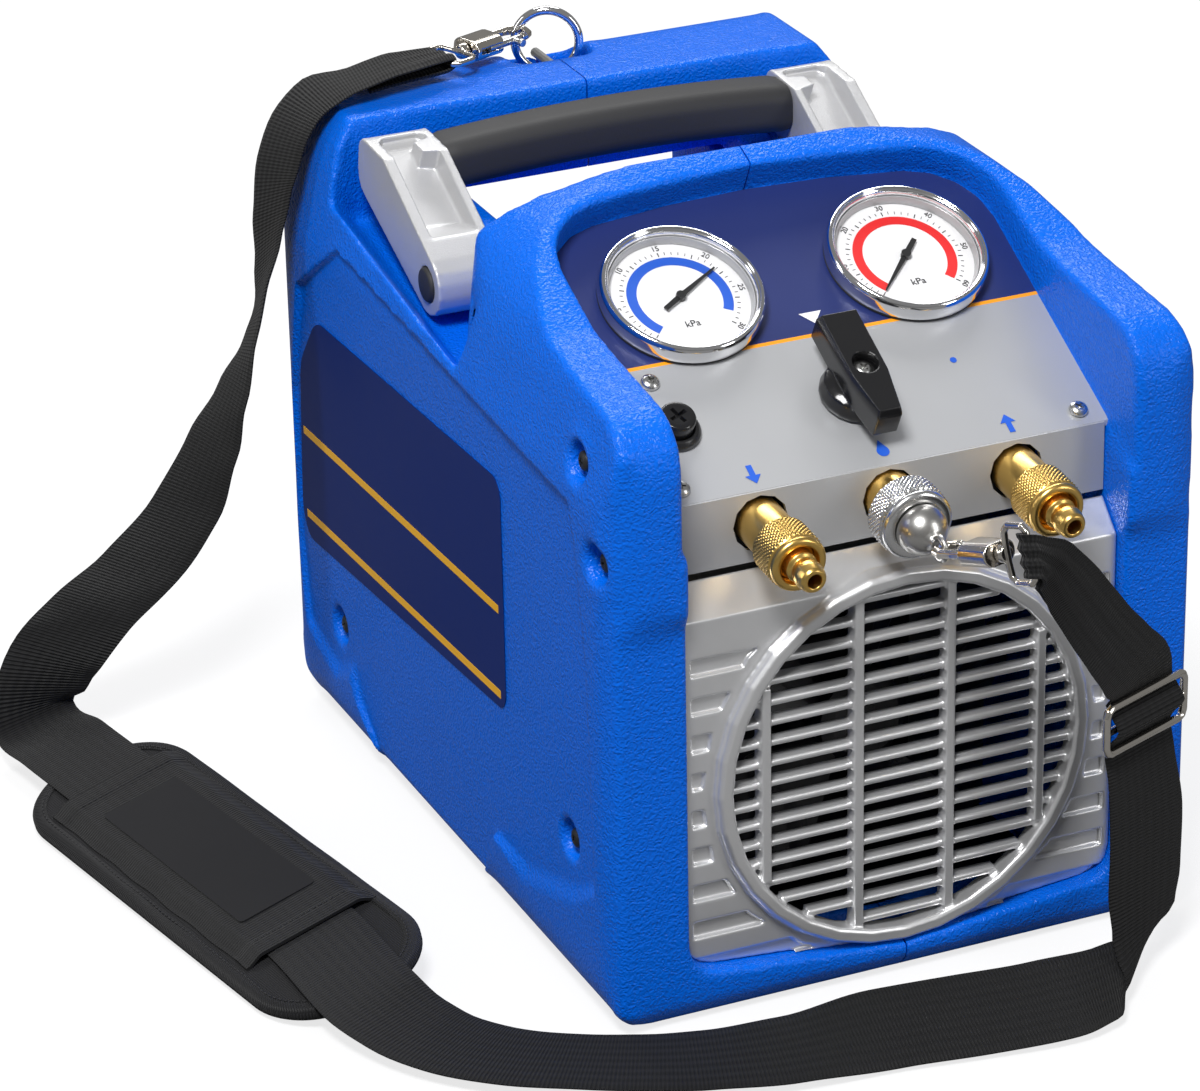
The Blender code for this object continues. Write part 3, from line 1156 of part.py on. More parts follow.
def strap_slider():
    """The three-bar wire slider that sets the strap's length."""
    half, rise = 0.0224, 0.0092
    frame = rounded_rectangle(2 * half, 2 * rise, 0.003, 2)
    slider = wire("strap_slider", [slider_point(x, z) for x, z in frame], 0.0018, cyclic=True)
    bar = wire("bar", [slider_point(-half, 0), slider_point(half, 0)], 0.0016)
    finish(fuse(slider, bar), "chrome")


def shoulder_pad():
    """A soft pad with a sleeve that the webbing runs through."""
    def slab(name, length, width, radius, low, high, middle=(0, 0)):
        outline = rounded_rectangle(length, width, radius, 4, middle)
        return loft(name, [[pad_point(a, b, at) for a, b in outline] for at in (low, high)])

    pad = slab("strap_pad", PAD_LENGTH, PAD_WIDTH, 0.031, -0.0063, -0.0012)
    fuse(pad, slab("sleeve", 0.150, 0.058, 0.004, -0.0030, 0.0026, (-0.010, 0.002)))
    cut(pad, slab("tunnel", 0.200, STRAP_WIDTH + 0.003, 0.001, -0.0012 - GAP, 0.0013, (-0.010, 0.002)))
    finish(pad, "webbing")


def main():
    clear_scene()
    housing_halves()
    control_panel()
    panel_screws()
    gauge("left", -1, math.radians(-60))
    gauge("right", 1, math.radians(135))
    selector_knob()
    fuse_holder()
    flare_port("inlet", -1)
    flare_port("outlet", 1)
    purge_valve()
    manifold()
    fan_guard()
    rear_grille()
    power_inlet_and_switch()
    handle()
    cooling_fan()
    chassis()
    condenser()
    compressor()
    ring_and_pin()
    turned_way = Matrix.Rotation(RING_TURN, 3, "Z") @ Vector((-1, 0, 0))
    on_ring = Vector((0, RING_Y, RING_PIN_Z + RING_LIFT))
    on_ring += turned_way * RING_RADIUS * 0.958 + UP * RING_RADIUS * 0.286
    upper_way = Vector(UPPER_HOOK_AXIS).normalized()
    snap_hook("hook_upper", on_ring - upper_way * HOOK_REACH, upper_way, 0)
    lower_way = Vector(LOWER_HOOK_AXIS).normalized()
    cap_eye = Vector((0, BEND_Y, PORT_HEIGHT)) + PORT_AXIS * CAP_EYE_REACH
    contact = cap_eye + Vector((0, -lower_way.y, -lower_way.z)).normalized() * CAP_EYE_RADIUS
    snap_hook("hook_lower", contact - lower_way * (HOOK_REACH + 0.0004), lower_way, 90)
    strap_webbing()
    strap_slider()
    shoulder_pad()
    for obj in list(bpy.data.objects):
        obj.matrix_world = Matrix.Translation((0, TO_MIDDLE, 0)) @ obj.matrix_world


main()
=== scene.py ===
# %% [markdown]
# # A portable refrigerant recovery machine
# The real machine is a blue moulded clamshell about 34 cm deep. A louvred guard covers the fan in
# its front, and above it a sheet-metal panel leans back with two gauges, a bar knob, a fuse and
# three service ports. A handle on two cast arms spans the hollow on top, and a shoulder strap
# runs from a ring in the rear bridge, over the floor, to the middle port.
#
# The solids and their joints come from the CAD frame. This lesson gives them their looks. It starts
# by loading the frame.

import math

import bmesh
import bpy
import numpy as np
from mathutils import Matrix, Vector


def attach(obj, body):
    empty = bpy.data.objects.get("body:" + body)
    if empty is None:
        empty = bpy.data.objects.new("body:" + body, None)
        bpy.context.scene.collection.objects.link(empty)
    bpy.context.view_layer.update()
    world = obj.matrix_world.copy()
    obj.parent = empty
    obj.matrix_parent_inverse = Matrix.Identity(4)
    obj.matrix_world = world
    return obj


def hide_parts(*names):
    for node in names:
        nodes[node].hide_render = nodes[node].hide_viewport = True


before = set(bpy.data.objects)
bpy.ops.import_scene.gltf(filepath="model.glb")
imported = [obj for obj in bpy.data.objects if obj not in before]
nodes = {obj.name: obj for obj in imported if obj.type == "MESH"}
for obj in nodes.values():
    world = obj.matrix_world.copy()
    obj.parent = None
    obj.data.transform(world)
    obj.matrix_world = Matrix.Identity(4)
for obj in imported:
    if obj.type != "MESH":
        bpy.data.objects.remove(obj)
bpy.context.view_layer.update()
scene = bpy.context.scene

# %% [markdown]
# ## The camera
# The photograph looks down at the machine from its left front corner with a long lens: the upright
# edges hardly converge. A camera can be aimed with a Track To constraint, but three measured
# directions say exactly how it is turned, so they go straight into its matrix.

# %% Camera
CAMERA_PLACE = Vector((-0.74738, -1.60052, 0.93148))
LOOKING_RIGHT = Vector((0.9140, -0.4054, -0.0187))
LOOKING_UP = Vector((0.1862, 0.3780, 0.9068))


def set_camera():
    """A 150 mm lens at the photographer's place, turned by its right and up directions."""
    lens = bpy.data.cameras.new("camera")
    lens.lens = 150
    lens.sensor_width = 36
    lens.sensor_fit = "HORIZONTAL"
    lens.clip_start = 0.05
    camera = bpy.data.objects.new("camera", lens)
    backwards = LOOKING_RIGHT.cross(LOOKING_UP)
    turn = Matrix((LOOKING_RIGHT, LOOKING_UP, backwards)).transposed().to_4x4()
    camera.matrix_world = Matrix.Translation(CAMERA_PLACE) @ turn
    scene.collection.objects.link(camera)
    scene.camera = camera
    return camera


camera = set_camera()
print("camera stands", round(CAMERA_PLACE.length, 2), "m from the middle of the machine")

# %% [markdown]
# ## Helpers for node trees
# Every finish below is a node tree. Two small helpers keep them readable: one starts a material and
# hands back its Principled shader, the other adds a node with its settings and input values.

# %% Node helpers
def add_node(tree, kind, inputs=None, **settings):
    """Adds a node, sets its properties, then its input values or links by name or number."""
    node = tree.nodes.new(kind)
    for key, value in settings.items():
        setattr(node, key, value)
    for key, value in (inputs or {}).items():
        if isinstance(value, bpy.types.NodeSocket):
            tree.links.new(value, node.inputs[key])
        else:
            node.inputs[key].default_value = value
    return node


def start_material(name, colour, roughness, metallic=0.0):
    """A new material with its Principled shader set to plain values."""
    made = bpy.data.materials.new(name)
    made.use_nodes = True
    shader = made.node_tree.nodes["Principled BSDF"]
    shader.inputs["Base Color"].default_value = (*colour, 1)
    shader.inputs["Roughness"].default_value = roughness
    shader.inputs["Metallic"].default_value = metallic
    made.diffuse_color = (*colour, 1)
    return made, made.node_tree, shader


def start_group(name, inputs, outputs):
    """A shader node group with named sockets, and its two end nodes."""
    group = bpy.data.node_groups.new(name, "ShaderNodeTree")
    for label, kind, value in inputs:
        socket = group.interface.new_socket(label, in_out="INPUT", socket_type=kind)
        socket.default_value = value
    for label, kind in outputs:
        group.interface.new_socket(label, in_out="OUTPUT", socket_type=kind)
    return group, group.nodes.new("NodeGroupInput"), group.nodes.new("NodeGroupOutput")


def place_group(tree, group, inputs=None):
    """One use of a group in a material, with its own values."""
    return add_node(tree, "ShaderNodeGroup", inputs, node_tree=group)


# %% [markdown]
# ## Effects that several finishes share
# Moulded plastic, paint, rubber and cloth all vary a little over their surface. Four effects are
# built once as node groups and placed in the materials with their own sizes and strengths: uneven
# colour and gloss, the leather grain of a mould, the fine tooth of a cast or blasted skin, and
# lines such as brushing or turning leaves. Each reads object coordinates, so the pattern stays on
# the piece and is in real millimetres whatever the mesh.

# %% Group: uneven tone
def uneven_tone_group():
    """Varies a colour and a roughness softly, as handling and moulding do."""
    group, given, result = start_group(
        "uneven tone",
        [("Color", "NodeSocketColor", (0.5, 0.5, 0.5, 1)), ("Roughness", "NodeSocketFloat", 0.5),
         ("Size", "NodeSocketFloat", 60.0), ("Amount", "NodeSocketFloat", 0.08)],
        [("Color", "NodeSocketColor"), ("Roughness", "NodeSocketFloat")])
    where = add_node(group, "ShaderNodeTexCoord").outputs["Object"]
    cloud = add_node(group, "ShaderNodeTexNoise", {"Vector": where, "Scale": given.outputs["Size"], "Detail": 5.0})
    swing = add_node(group, "ShaderNodeMath", {0: cloud.outputs["Fac"], 1: 0.5}, operation="SUBTRACT")
    scaled = add_node(group, "ShaderNodeMath", {0: swing.outputs[0], 1: given.outputs["Amount"]},
                      operation="MULTIPLY")
    value = add_node(group, "ShaderNodeMath", {0: scaled.outputs[0], 1: 2.0, 2: 1.0}, operation="MULTIPLY_ADD")
    tinted = add_node(group, "ShaderNodeHueSaturation", {"Value": value.outputs[0], "Color": given.outputs["Color"]})
    rough = add_node(group, "ShaderNodeMath", {0: scaled.outputs[0], 1: given.outputs["Roughness"]},
                     operation="ADD", use_clamp=True)
    group.links.new(tinted.outputs[0], result.inputs["Color"])
    group.links.new(rough.outputs[0], result.inputs["Roughness"])
    return group


uneven_tone = uneven_tone_group()

# %% Group: leather grain
def leather_grain_group():
    """Worm-like ridges of a grained mould: warped cells under a softer swell."""
    group, given, result = start_group(
        "leather grain",
        [("Cells per metre", "NodeSocketFloat", 500.0), ("Swell", "NodeSocketFloat", 0.35)],
        [("Height", "NodeSocketFloat")])
    where = add_node(group, "ShaderNodeTexCoord").outputs["Object"]
    warp = add_node(group, "ShaderNodeTexNoise", {"Vector": where, "Scale": 260.0, "Detail": 2.0})
    shifted = add_node(group, "ShaderNodeMixRGB", {"Fac": 0.0035, "Color1": where, "Color2": warp.outputs["Color"]},
                       blend_type="ADD")
    cells = add_node(group, "ShaderNodeTexVoronoi", {"Vector": shifted.outputs[0], "Scale": given.outputs[0],
                                                     "Smoothness": 0.6}, feature="SMOOTH_F1")
    swell = add_node(group, "ShaderNodeTexNoise", {"Vector": where, "Scale": 420.0, "Detail": 2.0})
    mixed = add_node(group, "ShaderNodeMixRGB", {"Fac": given.outputs["Swell"], "Color1": cells.outputs["Distance"],
                                                 "Color2": swell.outputs["Fac"]})
    group.links.new(mixed.outputs[0], result.inputs["Height"])
    return group


leather_grain = leather_grain_group()

# %% Group: fine tooth
def fine_tooth_group():
    """The tiny, even roughness of a cast, blasted or powder-coated skin."""
    group, given, result = start_group(
        "fine tooth", [("Grains per metre", "NodeSocketFloat", 1800.0)], [("Height", "NodeSocketFloat")])
    where = add_node(group, "ShaderNodeTexCoord").outputs["Object"]
    grains = add_node(group, "ShaderNodeTexNoise", {"Vector": where, "Scale": given.outputs[0], "Detail": 3.0,
                                                    "Roughness": 0.6})
    group.links.new(grains.outputs["Fac"], result.inputs["Height"])
    return group


fine_tooth = fine_tooth_group()

# %% Group: drawn lines
def drawn_lines_group():
    """Fine parallel lines, as brushing leaves: noise stretched along one axis."""
    group, given, result = start_group(
        "drawn lines", [("Stretch", "NodeSocketVector", (60.0, 2600.0, 2600.0))], [("Height", "NodeSocketFloat")])
    where = add_node(group, "ShaderNodeTexCoord").outputs["Object"]
    along = add_node(group, "ShaderNodeVectorMath", {0: where, 1: given.outputs[0]}, operation="MULTIPLY")
    lines = add_node(group, "ShaderNodeTexNoise", {"Vector": along.outputs[0], "Scale": 1.0, "Detail": 2.0})
    group.links.new(lines.outputs["Fac"], result.inputs["Height"])
    return group


drawn_lines = drawn_lines_group()
print("node groups:", ", ".join(group.name for group in bpy.data.node_groups))

# %% [markdown]
# ## Floor and light
# A product photograph of this kind is lit by large soft boxes on a white sweep, with the object cut
# out of it. The floor here is a big pale sheet that keeps the shadow. What the camera and the
# reflections see of it comes from its own brightness, not from more light on the machine.

# %% Floor, world and lamps
def pale_floor():
    """A flat sheet under everything, white to the camera and grey-white to the light."""
    bm = bmesh.new()
    bmesh.ops.create_grid(bm, x_segments=1, y_segments=1, size=6.0)
    mesh = bpy.data.meshes.new("floor")
    bm.to_mesh(mesh)
    bm.free()
    floor = bpy.data.objects.new("floor", mesh)
    floor.location = (0, 0, -0.0006)
    scene.collection.objects.link(floor)
    made = bpy.data.materials.new("floor_white")
    made.use_nodes = True
    tree = made.node_tree
    shader = tree.nodes["Principled BSDF"]
    shader.inputs["Roughness"].default_value = 0.9
    path = add_node(tree, "ShaderNodeLightPath")
    shade = add_node(tree, "ShaderNodeMixRGB", {"Fac": path.outputs["Is Camera Ray"], "Color1": (0.15, 0.15, 0.15, 1),
                                                "Color2": (0.86, 0.86, 0.87, 1)})
    tree.links.new(shade.outputs[0], shader.inputs["Base Color"])
    glow = add_node(tree, "ShaderNodeEmission", {"Color": (1, 1, 1, 1), "Strength": 1.04})
    seen = add_node(tree, "ShaderNodeMath", {0: path.outputs["Is Camera Ray"], 1: 0.74}, operation="MULTIPLY")
    both = add_node(tree, "ShaderNodeMixShader", {0: seen.outputs[0], 1: shader.outputs[0], 2: glow.outputs[0]})
    tree.links.new(both.outputs[0], tree.nodes["Material Output"].inputs["Surface"])
    mesh.materials.append(made)
    return floor


def studio_world():
    """A plain bright surround: white where it is seen, a softer level where it lights."""
    world = bpy.data.worlds.new("studio")
    world.use_nodes = True
    scene.world = world
    tree = world.node_tree
    path = add_node(tree, "ShaderNodeLightPath")
    seen = add_node(tree, "ShaderNodeMath", {0: path.outputs["Is Camera Ray"], 1: path.outputs["Is Transmission Ray"]},
                    operation="MAXIMUM")
    strength = add_node(tree, "ShaderNodeMix", {0: seen.outputs[0], 2: 0.22, 3: 1.0}, data_type="FLOAT")
    backdrop = tree.nodes["Background"]
    backdrop.inputs["Color"].default_value = (1, 1, 1, 1)
    tree.links.new(strength.outputs[0], backdrop.inputs["Strength"])
    return world


def soft_box(name, place, aim, width, height, watts):
    lamp = bpy.data.lights.new(name, "AREA")
    lamp.shape = "RECTANGLE"
    lamp.size = width
    lamp.size_y = height
    lamp.energy = watts
    obj = bpy.data.objects.new(name, lamp)
    obj.matrix_world = Matrix.Translation(place) @ (Vector(aim) - Vector(place)).to_track_quat("-Z", "Y").to_matrix().to_4x4()
    scene.collection.objects.link(obj)
    return obj


pale_floor()
studio_world()
soft_box("key_light", (-0.75, -0.95, 1.8), (0, 0, 0.12), 0.5, 0.5, 42)
soft_box("side_light", (-1.9, 0.5, 0.9), (0, 0, 0.12), 0.35, 1.2, 7)
soft_box("front_light", (1.2, -1.6, 0.8), (0, 0, 0.12), 0.4, 1.2, 9)
soft_box("rear_light", (0.4, 1.2, 1.6), (0, 0, 0.15), 1.4, 0.4, 20)
scene.view_settings.view_transform = "Standard"

# %% [markdown]
# ## Rounding a moulded or cast piece
# CAD solids have knife edges, and no moulding has. The Bevel modifier rounds clean edges well, but it
# struggles where many cuts meet. A voxel remesh turns the whole skin into even small squares first,
# whatever was cut, and then every point is moved towards its neighbours a few times, which rounds
# each edge by the same radius. The same helper serves the housing, the fan guard, the cast arms and
# the knob. Broad curves that the CAD made from flats are evened out with a second, longer
# smoothing that works only where the skin turns slowly.

# %% Rounding helpers
def mesh_piece(name, mesh, finish=None):
    """Links a mesh as a piece of the machine."""
    obj = bpy.data.objects.new(name, mesh)
    scene.collection.objects.link(obj)
    if finish:
        mesh.materials.clear()
        mesh.materials.append(finish)
    return obj


def node_mesh(name):
    """A loose copy of a CAD node's mesh, welded."""
    mesh = nodes[name].data.copy()
    bm = bmesh.new()
    bm.from_mesh(mesh)
    bmesh.ops.remove_doubles(bm, verts=bm.verts, dist=1e-6)
    bm.to_mesh(mesh)
    bm.free()
    mesh.materials.clear()
    return mesh


def baked(obj):
    """The mesh that an object's modifiers give. The object goes."""
    bpy.context.view_layer.update()
    mesh = bpy.data.meshes.new_from_object(obj.evaluated_get(bpy.context.evaluated_depsgraph_get()))
    bpy.data.objects.remove(obj, do_unlink=True)
    return mesh


def points_of(mesh):
    flat = np.empty(len(mesh.vertices) * 3, np.float32)
    mesh.vertices.foreach_get("co", flat)
    return flat.reshape(-1, 3).astype(np.float64)


def set_points(mesh, points):
    mesh.vertices.foreach_set("co", points.astype(np.float32).ravel())
    mesh.update()


def normals_of(mesh):
    flat = np.empty(len(mesh.vertices) * 3, np.float32)
    mesh.vertex_normals.foreach_get("vector", flat)
    return flat.reshape(-1, 3).astype(np.float64)


def neighbour_mean(values, edges, degree):
    """The mean of each point's neighbours."""
    total = np.empty_like(values)
    both = np.concatenate([edges[:, 0], edges[:, 1]])
    other = np.concatenate([edges[:, 1], edges[:, 0]])
    for axis in range(values.shape[1]):
        total[:, axis] = np.bincount(both, values[other, axis], len(values))
    return total / degree[:, None]


def relax(mesh, rounds, weight=None, step=0.5):
    """Moves each point towards its neighbours' mean, as many times as asked."""
    points = points_of(mesh)
    edges = np.empty(len(mesh.edges) * 2, np.int32)
    mesh.edges.foreach_get("vertices", edges)
    edges = edges.reshape(-1, 2)
    degree = np.maximum(np.bincount(edges.ravel(), minlength=len(points)), 1).astype(float)
    share = step if weight is None else step * weight[:, None]
    for _ in range(rounds):
        points += share * (neighbour_mean(points, edges, degree) - points)
    set_points(mesh, points)


def slow_turn(mesh, rounds, sharp=0.955, flat=0.985):
    """1 where the skin turns slowly, 0 at edges, from how far averaged normals shrink."""
    normals = normals_of(mesh)
    edges = np.empty(len(mesh.edges) * 2, np.int32)
    mesh.edges.foreach_get("vertices", edges)
    edges = edges.reshape(-1, 2)
    degree = np.maximum(np.bincount(edges.ravel(), minlength=len(normals)), 1).astype(float)
    for _ in range(rounds):
        normals = 0.5 * normals + 0.5 * neighbour_mean(normals, edges, degree)
    length = np.linalg.norm(normals, axis=1)
    return np.clip((length - sharp) / (flat - sharp), 0, 1)


def remeshed(mesh, voxel):
    obj = bpy.data.objects.new("remesh", mesh)
    scene.collection.objects.link(obj)
    modifier = obj.modifiers.new("voxels", "REMESH")
    modifier.mode = "VOXEL"
    modifier.voxel_size = voxel
    return baked(obj)


def rounded_piece(name, mesh, voxel, rounds, finish, even=0):
    """Remeshes, rounds the edges, evens out the broad curves, and shades smooth."""
    skin = remeshed(mesh, voxel)
    relax(skin, rounds)
    if even:
        relax(skin, even, slow_turn(skin, 24))
    skin.shade_smooth()
    return mesh_piece(name, skin, finish)


def thinned(mesh, keep):
    """Fewer triangles with nearly the same shape."""
    obj = bpy.data.objects.new("thin", mesh)
    scene.collection.objects.link(obj)
    modifier = obj.modifiers.new("thin", "DECIMATE")
    modifier.ratio = keep
    return baked(obj)


# %% [markdown]
# ## Blue housing
# The clamshell is polyethylene or a like plastic from a mould with a leather grain, a deep royal
# blue. It is matt in the valleys and shines on the worn ridges, so the highlights break up into
# small specks. The colour is one plain value that drifts a little; the grain goes to a Bump node.

# %% Housing plastic
HOUSING_COLOUR = (0.0005, 0.122, 0.690)
HOUSING_GLOSS = 0.30


def blue_plastic():
    made, tree, shader = start_material("housing_blue", HOUSING_COLOUR, HOUSING_GLOSS)
    tone = place_group(tree, uneven_tone, {"Color": (*HOUSING_COLOUR, 1), "Roughness": HOUSING_GLOSS, "Size": 14.0,
                                           "Amount": 0.06})
    tree.links.new(tone.outputs["Color"], shader.inputs["Base Color"])
    grain = place_group(tree, leather_grain, {"Cells per metre": 880.0, "Swell": 0.30})
    bump = add_node(tree, "ShaderNodeBump", {"Height": grain.outputs["Height"], "Strength": 0.85,
                                             "Distance": 0.0007})
    tree.links.new(bump.outputs["Normal"], shader.inputs["Normal"])
    tree.links.new(tone.outputs["Roughness"], shader.inputs["Roughness"])
    shader.inputs["Specular IOR Level"].default_value = 0.20
    return made


housing_blue = blue_plastic()

# %% [markdown]
# ### The shape of a housing half
# Each half follows its CAD solid. Before the remesh the flat seam face is drawn out past the middle,
# so that the rounding doesn't touch the seam, and afterwards the half is cut off there again.
# The side of the real housing is not one plane: a large field is set in by about two millimetres,
# with a crisp step above and in front, and two ramps at the lower corners that the screws sit
# over. The solid has it with a plain square step. Here the step is drawn out flat and pushed in again
# on the remeshed points: inside an outline, with a soft step whose width can vary.

# %% Housing halves
HALF_WIDTH = 0.119
SEAM = 0.00035
# Outline of the set-in side field as (y, z), and how wide its step is from each corner on
SIDE_FIELD = (
    (0.1069, 0.2168, 0.0016), (-0.1209, 0.2018, 0.0022), (-0.1262, 0.1837, 0.0020), (-0.1334, 0.1438, 0.0020),
    (-0.1359, 0.0830, 0.0022), (-0.1363, 0.0532, 0.0050), (-0.1188, 0.0431, 0.0085), (-0.0953, 0.0355, 0.0095),
    (-0.0712, 0.0289, 0.0095), (-0.0411, 0.0312, 0.0016), (-0.0250, 0.0040, 0.0016), (-0.0200, -0.0200, 0.0016),
    (0.0780, -0.0200, 0.0016), (0.0843, 0.0079, 0.0016), (0.1011, 0.0228, 0.0020), (0.1082, 0.0344, 0.0080),
    (0.1240, 0.0268, 0.0080), (0.1448, 0.0319, 0.0070), (0.1562, 0.0364, 0.0030), (0.1640, 0.0700, 0.0020),
    (0.1629, 0.1371, 0.0018), (0.1495, 0.1875, 0.0018),
)
FIELD_DEPTH = 0.0024
SOLID_DEPTH = 0.0019
FIELD_START = 0.1135


def field_edge(points, outline):
    """How far each point lies inside an outline, negative outside it, and the step's width there."""
    inside = np.zeros(len(points), bool)
    nearest = np.full(len(points), 1e9)
    width = np.full(len(points), 0.002)
    count = len(outline)
    for index in range(count):
        ay, az, wide = outline[index]
        by, bz, wide_next = outline[(index + 1) % count]
        crosses = (az > points[:, 1]) != (bz > points[:, 1])
        reach = ay + (points[:, 1] - az) * (by - ay) / ((bz - az) or 1e-9)
        inside ^= crosses & (points[:, 0] < reach)
        along = np.array([by - ay, bz - az])
        share = np.clip(((points - [ay, az]) @ along) / (along @ along), 0, 1)
        distance = np.linalg.norm(points - [ay, az] - share[:, None] * along, axis=1)
        closer = distance < nearest
        nearest[closer] = distance[closer]
        width[closer] = wide + (wide_next - wide) * share[closer]
    return np.where(inside, nearest, -nearest), width


def filled_field(skin):
    """Draws the solid's plain step back out, so that a softer one can be pushed in."""
    points = points_of(skin)
    depth, _ = field_edge(points[:, 1:], SIDE_FIELD)
    held = (depth > -0.0008) & (points[:, 0] < -HALF_WIDTH + SOLID_DEPTH + 0.0009)
    points[held, 0] = -HALF_WIDTH
    set_points(skin, points)


def soft_field(skin):
    """Pushes the field in, with a step as wide as the real one is at each corner."""
    points = points_of(skin)
    depth, width = field_edge(points[:, 1:], SIDE_FIELD)
    step = np.clip(depth / width + 0.5, 0, 1)
    step = step * step * (3 - 2 * step)
    outer = np.clip((-points[:, 0] - FIELD_START) / 0.0015, 0, 1)
    points[:, 0] += FIELD_DEPTH * outer * step
    set_points(skin, points)


def past_the_seam(mesh, reach):
    """Draws the flat seam face out past the middle."""
    bm = bmesh.new()
    bm.from_mesh(mesh)
    cap = [face for face in bm.faces if all(v.co.x > -0.0002 for v in face.verts)]
    moved = bmesh.ops.extrude_face_region(bm, geom=cap)
    for item in moved["geom"]:
        if isinstance(item, bmesh.types.BMVert):
            item.co.x += reach
    left_over = [face for face in cap if face.is_valid]
    bmesh.ops.delete(bm, geom=left_over, context="FACES_ONLY")
    bm.to_mesh(mesh)
    bm.free()
    return mesh


def cut_at_seam(mesh):
    """Takes off what stands past the seam and closes the cut."""
    bm = bmesh.new()
    bm.from_mesh(mesh)
    geometry = bm.verts[:] + bm.edges[:] + bm.faces[:]
    bmesh.ops.bisect_plane(bm, geom=geometry, plane_co=(-SEAM, 0, 0), plane_no=(1, 0, 0), clear_outer=True)
    rim = [edge for edge in bm.edges if edge.is_boundary]
    bmesh.ops.triangle_fill(bm, edges=rim, use_beauty=False)
    bmesh.ops.recalc_face_normals(bm, faces=bm.faces)
    bm.to_mesh(mesh)
    bm.free()
    return mesh


def housing_half():
    """The left half: rounded, with its side field pushed in."""
    skin = remeshed(past_the_seam(node_mesh("shell_left"), 0.010), 0.0013)
    filled_field(skin)
    relax(skin, 10)
    relax(skin, 50, slow_turn(skin, 24))
    soft_field(skin)
    skin = thinned(skin, 0.45)
    cut_at_seam(skin)
    skin.shade_smooth()
    skin.set_sharp_from_angle(angle=math.radians(60))
    return skin


left_skin = housing_half()
shell_left = mesh_piece("housing_left", left_skin, housing_blue)
right_skin = left_skin.copy()
right_skin.transform(Matrix.Scale(-1, 4, (1, 0, 0)))
right_skin.flip_normals()
shell_right = mesh_piece("housing_right", right_skin, housing_blue)
for piece, node in ((shell_left, "shell_left"), (shell_right, "shell_right")):
    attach(piece, "machine")
    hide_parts(node)
print("housing half:", len(left_skin.polygons), "faces")

# %% [markdown]
# ## Metals and painted metals
# The bright parts differ less in colour than in how they were worked: turned brass, plated steel,
# cast and blasted aluminium, satin paint. One function starts them all. It lets the colour and the
# gloss drift a little, and gives the skin a tooth whose grain and depth belong to that finish.

# %% Metal finishes
def toothed_finish(name, colour, roughness, metallic, grains, depth, drift=0.04, strength=0.35):
    """A finish with uneven tone and a fine tooth of a given grain and depth in metres."""
    made, tree, shader = start_material(name, colour, roughness, metallic)
    tone = place_group(tree, uneven_tone, {"Color": (*colour, 1), "Roughness": roughness, "Size": 90.0,
                                           "Amount": drift})
    tooth = place_group(tree, fine_tooth, {"Grains per metre": grains})
    bump = add_node(tree, "ShaderNodeBump", {"Height": tooth.outputs["Height"], "Strength": strength,
                                             "Distance": depth})
    tree.links.new(tone.outputs["Color"], shader.inputs["Base Color"])
    tree.links.new(tone.outputs["Roughness"], shader.inputs["Roughness"])
    tree.links.new(bump.outputs["Normal"], shader.inputs["Normal"])
    return made


def brushed_finish(name, colour, roughness, stretch, depth=0.00004):
    """A metal with fine lines along the axis that is stretched least."""
    made, tree, shader = start_material(name, colour, roughness, 1.0)
    tone = place_group(tree, uneven_tone, {"Color": (*colour, 1), "Roughness": roughness, "Size": 60.0,
                                           "Amount": 0.05})
    lines = place_group(tree, drawn_lines, {"Stretch": stretch})
    bump = add_node(tree, "ShaderNodeBump", {"Height": lines.outputs["Height"], "Strength": 0.25,
                                             "Distance": depth})
    tree.links.new(tone.outputs["Color"], shader.inputs["Base Color"])
    tree.links.new(tone.outputs["Roughness"], shader.inputs["Roughness"])
    tree.links.new(bump.outputs["Normal"], shader.inputs["Normal"])
    return made


silver_paint = toothed_finish("silver_paint", (0.74, 0.742, 0.75), 0.36, 0.75, 2200.0, 0.00008)
cast_aluminium = toothed_finish("cast_aluminium", (0.58, 0.58, 0.585), 0.38, 0.45, 1500.0, 0.00025)
golden_brass = toothed_finish("golden_brass", (0.80, 0.52, 0.15), 0.29, 1.0, 3000.0, 0.00003, 0.05, 0.20)
bright_chrome = toothed_finish("bright_chrome", (0.82, 0.82, 0.83), 0.10, 1.0, 2600.0, 0.00002, 0.03, 0.10)
satin_chrome = toothed_finish("satin_chrome", (0.74, 0.74, 0.74), 0.24, 1.0, 2600.0, 0.00003, 0.04, 0.15)
bright_nickel = toothed_finish("bright_nickel", (0.70, 0.66, 0.60), 0.16, 1.0, 2600.0, 0.00002, 0.06, 0.12)
plated_steel = toothed_finish("plated_steel", (0.58, 0.58, 0.57), 0.28, 1.0, 2600.0, 0.00004, 0.08, 0.20)
brushed_steel = brushed_finish("brushed_steel", (0.56, 0.55, 0.53), 0.30, (2600.0, 60.0, 2600.0))
black_plastic = toothed_finish("black_plastic", (0.012, 0.012, 0.013), 0.28, 0.0, 1400.0, 0.00010)
black_rubber = toothed_finish("black_rubber", (0.020, 0.020, 0.021), 0.62, 0.0, 1200.0, 0.00016)
dark_metal = toothed_finish("dark_metal", (0.030, 0.031, 0.034), 0.50, 0.6, 1600.0, 0.00012)
finned_coil = brushed_finish("finned_coil", (0.30, 0.29, 0.27), 0.45, (1500.0, 200.0, 20.0), 0.0004)
print("metals:", ", ".join(m.name for m in (silver_paint, cast_aluminium, golden_brass, bright_chrome)))

# %% [markdown]
# ## Places on the panel and the flange
# The panel leans back by 28 degrees from a bend above its flange, and the ports stand almost level
# on the flange. Everything on them is modelled about its own axis and then stood at its place, so
# two small helpers give the places and one stands a mesh up there.

